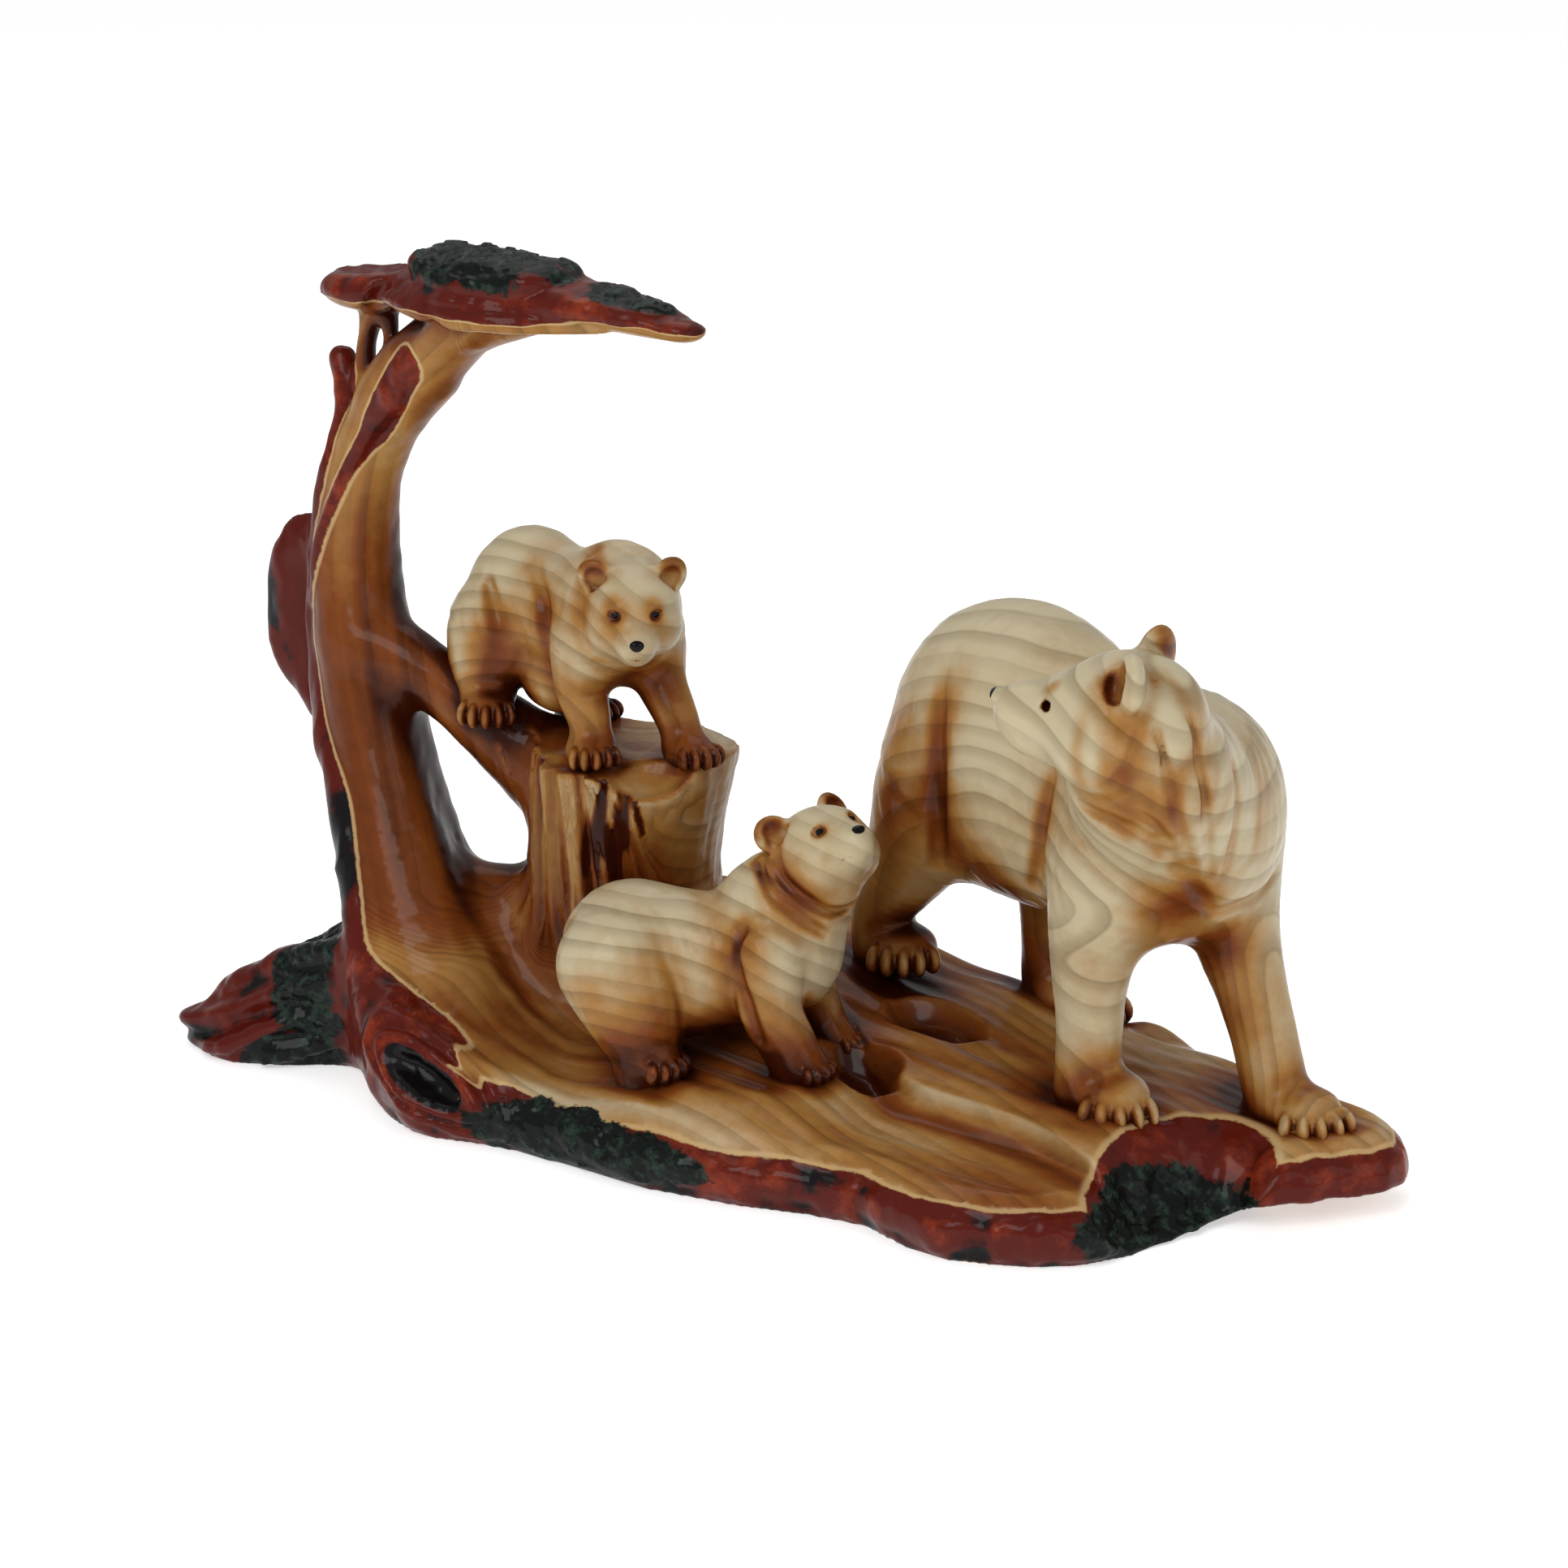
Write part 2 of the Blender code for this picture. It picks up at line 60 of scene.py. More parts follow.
# large odd numbers, which scatter the lattice's values
scatter = {"x": 374761393, "y": 668265263, "z": 2246822519, "seed": 3266489917, "stir": 1274126177}


def latticeValue(i, j, k, seed):
    # a repeatable number from 0 to 1 for each whole-number corner: multiplied, folded over and cut to 24 bits
    h = i.astype(np.uint32) * np.uint32(scatter["x"]) + j.astype(np.uint32) * np.uint32(scatter["y"])
    h = h + k.astype(np.uint32) * np.uint32(scatter["z"]) + np.uint32(seed * scatter["seed"] % 2 ** 32)
    h = (h ^ (h >> np.uint32(13))) * np.uint32(scatter["stir"])
    h = h ^ (h >> np.uint32(16))
    return (h & np.uint32(0xFFFFFF)).astype(np.float32) / np.float32(0xFFFFFF)


cellCorners = [(i, j, k) for i in (0, 1) for j in (0, 1) for k in (0, 1)]


def cornerShare(f, corner):
    # how much one corner of a cell counts at the place f within it: the product of f or 1 - f along each axis
    a, b, c = (f[:, n] if corner[n] else 1 - f[:, n] for n in range(3))
    return a * b * c


def noise(p, size, seed=1):
    # corner values of a lattice of this size, eased between: about -1 to 1
    q = np.asarray(p, float) / size + 1000.0  # well away from 0, so that no corner is negative
    corner = np.floor(q)
    f = ease(q - corner)
    i, j, k = corner.astype(np.int64).T
    total = 0
    for di, dj, dk in cellCorners:
        total = total + cornerShare(f, (di, dj, dk)) * latticeValue(i + di, j + dj, k + dk, seed)
    return total * 2 - 1


def layered(p, size, layers=3, seed=1):
    # noise at falling sizes and strengths
    total, weight = 0, 0
    for n in range(layers):
        total = total + noise(p, size / 2 ** n, seed + n) / 2 ** n
        weight += 1 / 2 ** n
    return total / weight


# clay: solid shapes as distances on a grid, in mm

farAway = 40.0  # stands for nothing near


def curveBetween(a, b, c, d, t):
    # a cubic from b to c, its slopes half of c less a and half of d less b
    return 0.5 * (2 * b + (c - a) * t + (2 * a - 5 * b + 4 * c - d) * t ** 2 + (3 * b - a - 3 * c + d) * t ** 3)


def smoothPath(points, radii, per=7):
    # a smooth curve through every point, each radius carried with it
    q = np.column_stack([np.asarray(points, float), np.asarray(radii, float)])
    q = np.vstack([2 * q[0] - q[1], q, 2 * q[-1] - q[-2]])
    t = np.linspace(0, 1, per, endpoint=False)[:, None]
    out = [curveBetween(a, b, c, d, t) for a, b, c, d in zip(q[:-3], q[1:-2], q[2:-1], q[3:])]
    out = np.vstack(out + [q[-2][None]])
    return out[:, :3], out[:, 3]


def pathDistance(p, points, radii):
    # least distance from each point of p to the round strand along the path
    path, r = smoothPath(points, radii)
    best = np.full(len(p), 1e6)
    for a, b, ra, rb in zip(path[:-1], path[1:], r[:-1], r[1:]):
        ab = b - a
        t = np.clip((p - a) @ ab / max(ab @ ab, 1e-9), 0, 1)
        best = np.minimum(best, np.linalg.norm(p - a - t[:, None] * ab, axis=1) - (ra + t * (rb - ra)))
    return best


def acrossPath(p, points, radii):
    # sideways distance from a path as the camera sees it, each stretch weighted by how near it is
    toCamera = (0.59, -0.75, 0.29)
    path, _ = smoothPath(points, radii, 3)
    total, weight = np.zeros(len(p)), np.full(len(p), 1e-12)
    for a, b in zip(path[:-1], path[1:]):
        ab = b - a
        t = np.clip((p - a) @ ab / (ab @ ab), 0, 1)
        off = p - a - t[:, None] * ab
        side = np.cross(ab, toCamera)
        share = np.exp(-((off ** 2).sum(1) - 60) / 25)
        total += share * (off @ side) / np.linalg.norm(side)
        weight += share
    return total / weight


class Clay:
    # a grid of distances to the surface, negative inside
    def __init__(self, axes, step):
        self.axes, self.step = axes, step
        self.low = np.array([a[0] for a in axes])
        self.d = np.full([len(a) for a in axes], farAway, np.float32)

    def part(self, low, high, pad):
        # the block of the grid between two corners, with its coordinates
        cut = []
        for i in range(3):
            a = int(np.floor((low[i] - pad - self.low[i]) / self.step))
            b = int(np.ceil((high[i] + pad - self.low[i]) / self.step)) + 1
            a, b = max(a, 0), min(b, self.d.shape[i])
            cut.append(slice(min(a, self.d.shape[i]), max(b, a)))
        x, y, z = (self.axes[i][cut[i]].astype(np.float32) for i in range(3))
        return tuple(cut), x[:, None, None], y[None, :, None], z[None, None, :]

    def press(self, cut, d, blend, carve=False):
        # joins or carves, rounded over where the two distances are close
        old = self.d[cut]
        if old.size == 0:
            return
        d = -d if carve else d
        close = np.maximum(blend - np.abs(old - d), 0) / blend
        bulge = close * close * blend * 0.25
        self.d[cut] = np.maximum(old, d) + bulge if carve else np.minimum(old, d) - bulge

    def egg(self, centre, radii, turn=None, blend=2.0, carve=False):
        # scaled length less one, times the scaled length over its slope
        centre, r = np.asarray(centre, float), np.broadcast_to(np.asarray(radii, float), 3)
        m = np.eye(3) if turn is None else turn
        reach = np.sqrt(((m * r) ** 2).sum(1))
        cut, x, y, z = self.part(centre - reach, centre + reach, blend + 2)
        x, y, z = x - centre[0], y - centre[1], z - centre[2]
        u, v, w = (m[0, i] * x + m[1, i] * y + m[2, i] * z for i in range(3))
        whole = np.sqrt((u / r[0]) ** 2 + (v / r[1]) ** 2 + (w / r[2]) ** 2)
        slope = np.sqrt((u / r[0] ** 2) ** 2 + (v / r[1] ** 2) ** 2 + (w / r[2] ** 2) ** 2)
        self.press(cut, whole * (whole - 1) / np.maximum(slope, 1e-6), blend, carve)

    def strand(self, points, radii, blend=3.0, carve=False, flat=1.0, across=(0, 1, 0), per=7):
        # distance to a smooth path less its changing radius, squashed across by flat
        path, r = smoothPath(points, radii, per)
        r = np.maximum(r, 0.15)
        across = np.asarray(across, float) / np.linalg.norm(across)
        pad = blend + 2
        cut = self.part((path - r[:, None]).min(0), (path + r[:, None]).max(0), pad)[0]
        near = np.full(self.d[cut].shape, farAway, np.float32)
        for a, b, ra, rb in zip(path[:-1], path[1:], r[:-1], r[1:]):
            big = max(ra, rb)
            own = self.part(np.minimum(a, b) - big, np.maximum(a, b) + big, pad)[0]
            inner = tuple(slice(max(o.start, c.start) - c.start, min(o.stop, c.stop) - c.start)
                          for o, c in zip(own, cut))
            if near[inner].size == 0:
                continue
            x, y, z = (self.axes[i][cut[i]][inner[i]].astype(np.float32) for i in range(3))
            x, y, z = x[:, None, None], y[None, :, None], z[None, None, :]
            ab = b - a
            x, y, z = x - a[0], y - a[1], z - a[2]
            t = np.clip((x * ab[0] + y * ab[1] + z * ab[2]) / max(ab @ ab, 1e-9), 0, 1)
            x, y, z = x - t * ab[0], y - t * ab[1], z - t * ab[2]
            if flat != 1:
                along = (x * across[0] + y * across[1] + z * across[2]) * (1 / flat - 1)
                x, y, z = x + along * across[0], y + along * across[1], z + along * across[2]
            near[inner] = np.minimum(near[inner], np.sqrt(x * x + y * y + z * z) - (ra + t * (rb - ra)))
        self.press(cut, near, blend, carve)

    def sample(self, p):
        # distance at any points, straight between the grid's values
        q = (np.asarray(p, float) - self.low) / self.step
        q = np.clip(q, 0, np.array(self.d.shape) - 1.001)
        i = np.floor(q).astype(int)
        total = 0
        for corner in cellCorners:
            total = total + cornerShare(q - i, corner) * self.d[tuple((i + corner).T)]
        return total

    def facing(self, p):
        # unit slope of the distance: the outward direction
        g = np.column_stack([self.sample(p + s) - self.sample(p - s) for s in np.eye(3) * self.step])
        return g / np.maximum(np.linalg.norm(g, axis=1), 1e-9)[:, None]

    def stand(self):
        # nothing below the floor
        self.d = np.maximum(self.d, (-self.axes[2]).astype(np.float32)[None, None, :])

    def skin(self):
        # one point in each cell the surface crosses, one quad round each crossed edge
        d = self.d
        inside = d < 0
        cells = np.zeros([n - 1 for n in d.shape], np.uint8)
        nx, ny, nz = d.shape
        for i, j, k in cellCorners:
            cells += inside[i:nx - 1 + i, j:ny - 1 + j, k:nz - 1 + k]
        found = np.flatnonzero(((cells > 0) & (cells < 8)).ravel())
        number = np.full(cells.size, -1, np.int32)
        number[found] = np.arange(len(found))
        number = number.reshape(cells.shape)
        at = np.column_stack(np.unravel_index(found, cells.shape))
        value = {c: d[at[:, 0] + c[0], at[:, 1] + c[1], at[:, 2] + c[2]] for c in cellCorners}
        total, count = np.zeros((len(found), 3)), np.zeros(len(found))
        for c in cellCorners:
            for axis in range(3):
                if c[axis]:
                    continue
                other = tuple(1 if n == axis else c[n] for n in range(3))
                va, vb = value[c], value[other]
                cross = (va < 0) != (vb < 0)
                t = np.where(cross, va / np.where(cross, va - vb, 1), 0)
                for n in range(3):
                    total[:, n] += np.where(cross, c[n] + (t if n == axis else 0), 0)
                count += cross
        points = (total / count[:, None] + at) * self.step + self.low
        quads = []
        for axis in range(3):
            a, b = [(1, 2), (2, 0), (0, 1)][axis]
            first, second = [slice(1, -1)] * 3, [slice(1, -1)] * 3
            first[axis], second[axis] = slice(0, d.shape[axis] - 1), slice(1, d.shape[axis])
            s0, s1 = inside[tuple(first)], inside[tuple(second)]
            edge = np.argwhere(s0 != s1)
            outward = s0[tuple(edge.T)]
            edge[:, a] += 1
            edge[:, b] += 1

            def cell(da, db):
                g = edge.copy()
                g[:, a] += da
                g[:, b] += db
                return number[tuple(g.T)]

            quad = np.column_stack([cell(-1, -1), cell(0, -1), cell(0, 0), cell(-1, 0)])
            quad[~outward] = quad[~outward][:, ::-1]
            quads.append(quad)
        return points, np.vstack(quads)


def freshClay(low, high, step):
    # an empty grid from one corner to the other
    low = np.array(low, float)
    count = np.ceil((np.array(high, float) - low) / step).astype(int) + 1
    return Clay([low[i] + step * np.arange(count[i]) for i in range(3)], step)


# base: fallen timber with a wandering edge

base = {
    "thick": 12.5, "path": 3.0, "rise": 15.0, "sweep": 9.0, "dip": 4.5, "terrace": 2.8, "hollow": 4.6,
    "rimDrop": 4.0, "rimWide": 5.0, "tip": 5.5, "wander": 0.9, "gouge": 0.25,
    "outline": [(-121, -40), (-112, -45), (-100, -40), (-88, -32), (-76, -36), (-68, -44), (-58, -49),
                (-48, -50), (-31, -45), (-15, -45), (2, -44), (17, -41), (32, -36), (42, -34), (52, -37),
                (63, -37), (74, -33), (84, -24), (91, -10), (97, 4), (106, 16), (112, 24), (115, 33), (110, 41),
                (98, 45), (84, 43), (72, 46), (58, 52), (40, 54), (20, 50), (0, 48), (-20, 49), (-42, 46),
                (-62, 40), (-82, 30), (-98, 14), (-108, -4), (-114, -20), (-121, -32)],
    "terraceLine": [(10, 4), (24, -4), (36, -8), (59, -10), (88, -14), (110, -16)],
    "mound": (-2, -20, 26, 17, 5.2),    # under the cub on the ground: middle, half sizes, height
    "hollows": [(24, 14, 10, 6), (21, -6, 8, 5)],
    "bank": (92, -4, 13, 21),           # sloping bank at the front right: middle and half sizes
    "flakes": [((53, 47, 13), (9, 3.4, 5), (-10, -6, 0)),       # pale chips at the back corner
               ((60, 44, 11), (6, 3, 5), (-30, -12, 0))],
    "knot": (-51.0, -50.5, 12.2), "knotTurn": (8, -22, 0),      # knot hole in the front lobe
    "knotSize": (9.2, 4.5, 2.8), "knotLip": (9.6, 6, 3.3),
}


def edgeDistance(x, y):
    # signed distance to the smooth closed outline, inside negative
    p = np.array(base["outline"], float)
    t = np.linspace(0, 1, 4, endpoint=False)[:, None]
    a, b, c, d = np.roll(p, 1, 0), p, np.roll(p, -1, 0), np.roll(p, -2, 0)
    ring = [curveBetween(a, b, c, d, s) for s in t]
    q = np.stack(ring, 1).reshape(-1, 2)
    best, inside = np.full(np.shape(x), 1e9), np.zeros(np.shape(x), bool)
    for a, b in zip(q, np.roll(q, -1, 0)):
        ab = b - a
        s = np.clip(((x - a[0]) * ab[0] + (y - a[1]) * ab[1]) / (ab @ ab), 0, 1)
        best = np.minimum(best, (x - a[0] - s * ab[0]) ** 2 + (y - a[1] - s * ab[1]) ** 2)
        across = a[0] + (y - a[1]) / (ab[1] if ab[1] else 1e-9) * ab[0]
        inside ^= ((a[1] > y) != (b[1] > y)) & (x < across)
    return np.where(inside, -1, 1) * np.sqrt(best)


def ledgeAway(x, y):
    # how far behind the terrace's flowing edge
    return y - np.interp(x, *zip(*base["terraceLine"])) - 0.9 * np.sin(x * 0.13 + 0.6)


def groundHeight(x, y):
    # the sum of a level front, a rise to the back left, a sweep up to the trunk, a dip to the root,
    # the terrace, the hollows, the mound and long gouges
    g = base["thick"] + base["path"] * ease((y + 16) / 14) * ease((100 - x) / 30) * ease((54 - y) / 20) + 0 * x
    g = g + base["rise"] * ease((65 - x) / 100) * ease((y + 22) / 44) * ease((x + 85) / 35)
    g = g + base["sweep"] * ease((-20 - x) / 55) * ease((6 - y) / 16) * ease((x + 112) / 25)
    g = g - base["dip"] * ease((-90 - x) / 18)
    g = g + base["terrace"] * ease(ledgeAway(x, y) / 1.2) * ease((x - 8) / 20) * ease((52 - y) / 10)
    for cx, cy, rx, ry in base["hollows"]:
        away = ((x - cx) / rx) ** 2 + ((y - cy) / ry) ** 2
        g = g - base["hollow"] * ease((1.5 - away) / 1.1)
    cx, cy, rx, ry, rise = base["mound"]
    g = g + rise * ease((1.45 - np.sqrt(((x - cx) / rx) ** 2 + ((y - cy) / ry) ** 2)) / 0.75)
    return g + base["gouge"] * np.sin(y * 0.9 + 0.05 * x + 1.5 * np.sin(x * 0.05))


def bankShare(x, y):
    # 1 in the middle of the sloping bank, falling with the scaled distance from it
    cx, cy, rx, ry = base["bank"]
    return ease(1.6 - 1.3 * np.sqrt(((x - cx) / rx) ** 2 + ((y - cy) / ry) ** 2))


def sculptBase(clay, fine=True):
    # the larger of the side's distance and the top's, rounded over at the rim
    cut, x, y, z = clay.part((-130, -60, -3), (126, 66, 46), 0)
    gx, gy = np.meshgrid(x[:, 0, 0], y[0, :, 0], indexing="ij")
    edge = edgeDistance(gx, gy)
    flat = np.column_stack([gx.ravel(), gy.ravel(), 0 * gx.ravel()])
    wander = (layered(flat, 9, 2, 7) * base["wander"]).reshape(gx.shape) if fine else 0 * gx
    top = groundHeight(gx, gy)
    top = top - base["rimDrop"] * ease((edge + base["rimWide"]) / (base["rimWide"] + 1.5))
    bank = bankShare(gx, gy)
    slope = 1.0 + 12.5 * ease(-edge / 19)
    top = top + (np.minimum(top, slope) - top) * bank
    lean = 1.4 * np.sin(np.clip(z / 13, 0, 1) * np.pi) - 0.8 * np.clip(1 - z / 4, 0, 1)
    side = (edge + wander)[:, :, None] - lean
    lid = (z - top[:, :, None]) * 0.92
    near = np.maximum(2.0 - np.abs(side - lid), 0) / 2.0
    d = np.maximum(side, lid) + near * near * 0.5
    under = (base["tip"] * ease((gx - 88) / 14))[:, :, None] - z
    clay.press(cut, np.maximum(d, under * 0.9).astype(np.float32), 1.0)
    for centre, radii, turn in base["flakes"]:
        clay.egg(centre, radii, spin(*turn), 2)


# tree: bent trunk, bark edge, crown, root, web and stump

tree = {
    "wood": [
        ([(-68, -24, 12), (-79, -21, 32), (-88, -18, 52), (-96, -15, 74), (-100.5, -14, 98), (-98, -14, 116),
          (-92.5, -14, 129), (-85, -14, 139.5), (-76, -13, 146.5)], [17, 12, 9, 8.5, 7, 5.5, 5, 4.8, 4.6], 6),
        ([(-80, -8, 12), (-86, -8, 36), (-93, -8, 60), (-98.5, -8, 84), (-100, -8, 104), (-96, -10, 118),
          (-89, -11, 130), (-79, -12, 139)], [13, 8.5, 6.5, 6, 5.5, 5, 5.5, 5.5], 6),
        ([(-97, -14, 84), (-88, -12, 81), (-78, -8, 74), (-69, -3, 66), (-60, 2, 58)], [7, 6.5, 6.5, 8, 10], 5),
    ],
    "bark": [
        ([(-54, -44, 9), (-66, -40, 15), (-79, -31.5, 24), (-86.8, -26.5, 38), (-93.4, -22.5, 54),
          (-101.5, -18.5, 68), (-106, -15, 90), (-105, -15, 106), (-102, -15.5, 118), (-100, -13.5, 130),
          (-102.5, -12, 139.5)], [8.5, 7.5, 5.8, 5.2, 4.9, 4.6, 4.0, 3.4, 2.8, 2.3, 2.6], 1.6),
        ([(-104, -13, 62), (-117, -9, 72), (-124, -8, 84), (-125, -8, 93), (-113, -11, 100), (-104, -12, 110)],
         [3.2, 3.0, 2.8, 2.0, 2.0, 2.2], 4),
        ([(-105, -17, 92), (-103.5, -18.5, 99), (-101.5, -19, 106), (-98.5, -18.8, 113), (-95, -18.4, 120),
          (-90.5, -18.4, 126), (-85.5, -18.7, 132), (-80.5, -18.9, 139), (-78, -18.6, 143)],
         [2.8, 2.4, 2.0, 1.7, 1.5, 1.5, 1.8, 2.0, 1.5], 1.2),
    ],
    "root": [([(-82, -24, 20), (-95, -27, 15), (-107, -31, 10.5), (-117, -36, 5.5), (-121, -38, 4)],
              [13, 11, 9, 6, 5], 4)],
    "web": [([(-82, -11, 20), (-66, -5, 21.5), (-52, 2, 22)], [20, 18.5, 19], 6)],
    "struts": [([(-97, -12, 136), (-95.5, -12, 145), (-93, -12, 152)], [2.2, 2.0, 3.4], 3),
               ([(-88.5, -13, 138), (-89.5, -12, 146), (-91, -12, 152)], [1.9, 1.6, 2.6], 2)],
    "cup": [([(-88, -14, 133), (-80, -14, 141.5), (-69, -13, 149.5), (-56, -13, 153.5), (-43, -13, 156)],
             [4.5, 5.2, 5.5, 4.5, 3], 6),
            ([(-78, -14, 142), (-71, -19, 149), (-66, -23, 153.5)], [3.2, 3, 2], 4),
            ([(-74, -14, 145), (-62, -18, 151), (-52, -21, 154.5)], [3.2, 3, 2], 4),
            ([(-74, -12, 145), (-66, -6, 151), (-58, -2, 154.5)], [3.2, 3, 2], 4)],
    "crown": [((-62, -14, 157.4), (19, 13, 3.0), (0, 0, 0)), ((-80, -13, 157), (9, 8, 3.2), (0, 0, 0))],
    "shell": ((-90.5, -13, 155.2), (13, 10, 4.8), (0, 4, 0)),
    "arm": [([(-50, -14, 157.5), (-36, -14, 158), (-24, -14, 156.8), (-14.5, -14, 155.6)], [9, 8, 6, 4.2], 2)],
    "lip": [([(-81, -21, 155.4), (-72, -24.5, 155), (-62, -26, 154.2), (-52, -25, 154.4), (-42, -21, 154.6),
              (-30, -18, 155)], [1.6, 2.0, 2.0, 2.0, 1.8, 1.2], 1.2)],
    "mossLumps": [((-60, -14, 160.6), (18, 12, 4.6)), ((-71, -15, 162.2), (7, 8, 3.4)),
                  ((-60, -17, 163), (7, 7, 3)), ((-49, -15, 161.8), (8, 9, 3.2)),
                  ((-26, -14, 158.6), (9, 4.5, 1.8))],
    "shellHollow": ((-93, -13, 163.6), (15, 13, 6.6)),
    "flange": ((-113.5, -10.5, 87), (11.5, 3.2, 19.5), (14, 0, 0)),     # plate of bark on the trunk's left
    "flangeCup": ((-112, -15.2, 84), (6, 2.6, 12), (14, 0, 0)),
    "slits": [([(-90, -17, 144), (-86, -20, 153), (-80, -22, 160)], [1.5, 2, 1.5], 1),
              ([(-72, -24, 146), (-64, -25, 152)], [1.4, 2.2], 2.5),
              ([(-60, -20, 148), (-54, -22, 153)], [1.2, 2], 2.5)],
    "stump": ([(-52, 9, 8), (-48, 7, 30), (-45, 5, 50), (-40.5, 4, 72)], [24, 20, 18.6, 19.8]),
    "sawn": 67.4,       # height of the stump's top
    "chip": ((-27.5, -9.5, 69), (9.5, 9, 7), (20, 0, 0)), "nick": ((-35.5, -10, 69), (3.2, 6, 3.2), (30, 0, 0)),
    "splits": [(-38, -14.5, 49), (-35, -13.5, 44), (-31.5, -11, 52)],   # cracks below the chip: x, y, lower end
}


def strands(clay, items, **more):
    # each path, its radii and its blend, one after another
    for points, radii, blend in items:
        clay.strand(points, radii, blend, **more)


def sculptTree(clay, fine=True):
    # strands of wood first, then the crown, then the bark laid on with a tight crease
    strands(clay, tree["wood"])
    strands(clay, tree["web"], flat=0.6)
    strands(clay, tree["root"])
    sculptStump(clay, fine)
    strands(clay, tree["cup"])
    strands(clay, tree["struts"])
    for centre, radii, turn in tree["crown"] + [tree["shell"]]:
        clay.egg(centre, radii, spin(*turn), 1.6)
    strands(clay, tree["arm"], flat=0.5, across=(0, 0, 1))
    strands(clay, tree["lip"])
    clay.egg(*tree["shellHollow"], None, 1, carve=True)
    for centre, radii in tree["mossLumps"]:
        clay.egg(centre, radii, None, 1.5)
    strands(clay, tree["bark"])
    centre, radii, turn = tree["flange"]
    clay.egg(centre, radii, spin(*turn), 4)
    if fine:
        centre, radii, turn = tree["flangeCup"]
        clay.egg(centre, radii, spin(*turn), 2, carve=True)
        clay.egg(base["knot"], base["knotSize"], spin(*base["knotTurn"]), 1.2, carve=True)
        strands(clay, tree["slits"], carve=True)


def sculptStump(clay, fine=True):
    # a tapering round trunk, fluted round its front, cut off level with a slightly rounded rim, then chipped
    points, radii = tree["stump"]
    cut, x, y, z = clay.part((-80, -30, 2), (-12, 40, 95), 2)
    own = Clay([clay.axes[i][cut[i]] for i in range(3)], clay.step)
    own.strand(points, radii, 3)
    if fine:
        around = np.arctan2(y - 6, x + 45)
        split = np.abs(np.sin(around * 9.5 + 0.5 * np.sin(z * 0.11)))
        split = split + 0.5 * np.abs(np.sin(around * 23 + z * 0.04))
        front = ease((-0.9 - around) / 0.25) * ease((around + 2.6) / 0.3)
        flute = (split - 0.75) * (0.3 + 1.7 * front)
        own.d = own.d - (flute * ease((z - 24) / 12)).astype(np.float32)
    waves = 0.9 * ease((-52 - x) / 10) + 0.4 * np.sin(x * 0.35 + y * 0.2)
    lid = z - (tree["sawn"] + waves + 1.2 * ease((x + 28) / 8) - 1.4 * ease((-8 - y) / 5))
    near = np.maximum(1.0 - np.abs(own.d - lid), 0)
    clay.press(cut, np.maximum(own.d, lid) + near * near * 0.25, 5)
    for centre, radii, turn in [tree["chip"], tree["nick"]] if fine else [tree["chip"]]:
        clay.egg(centre, radii, spin(*turn), 1.2, carve=True)
    if fine:
        for x, y, low in tree["splits"]:
            clay.strand([(x - 1, y, 65), (x, y - 0.6, 56), (x + 1, y, low)], [0.9, 1.3, 0.4], 1.0, carve=True)


# bears: lumps, limbs, paws and heads, each in its own axes (x forward, z up, mm)
# lump: centre, half sizes. limb and crease: path, radii, blend. paw: centre, size, pitch, yaw
# blush: centre, reach, strength
# pith: x and z of the log's heart, squash along x, lean across. box and grid: corners and step of the clay

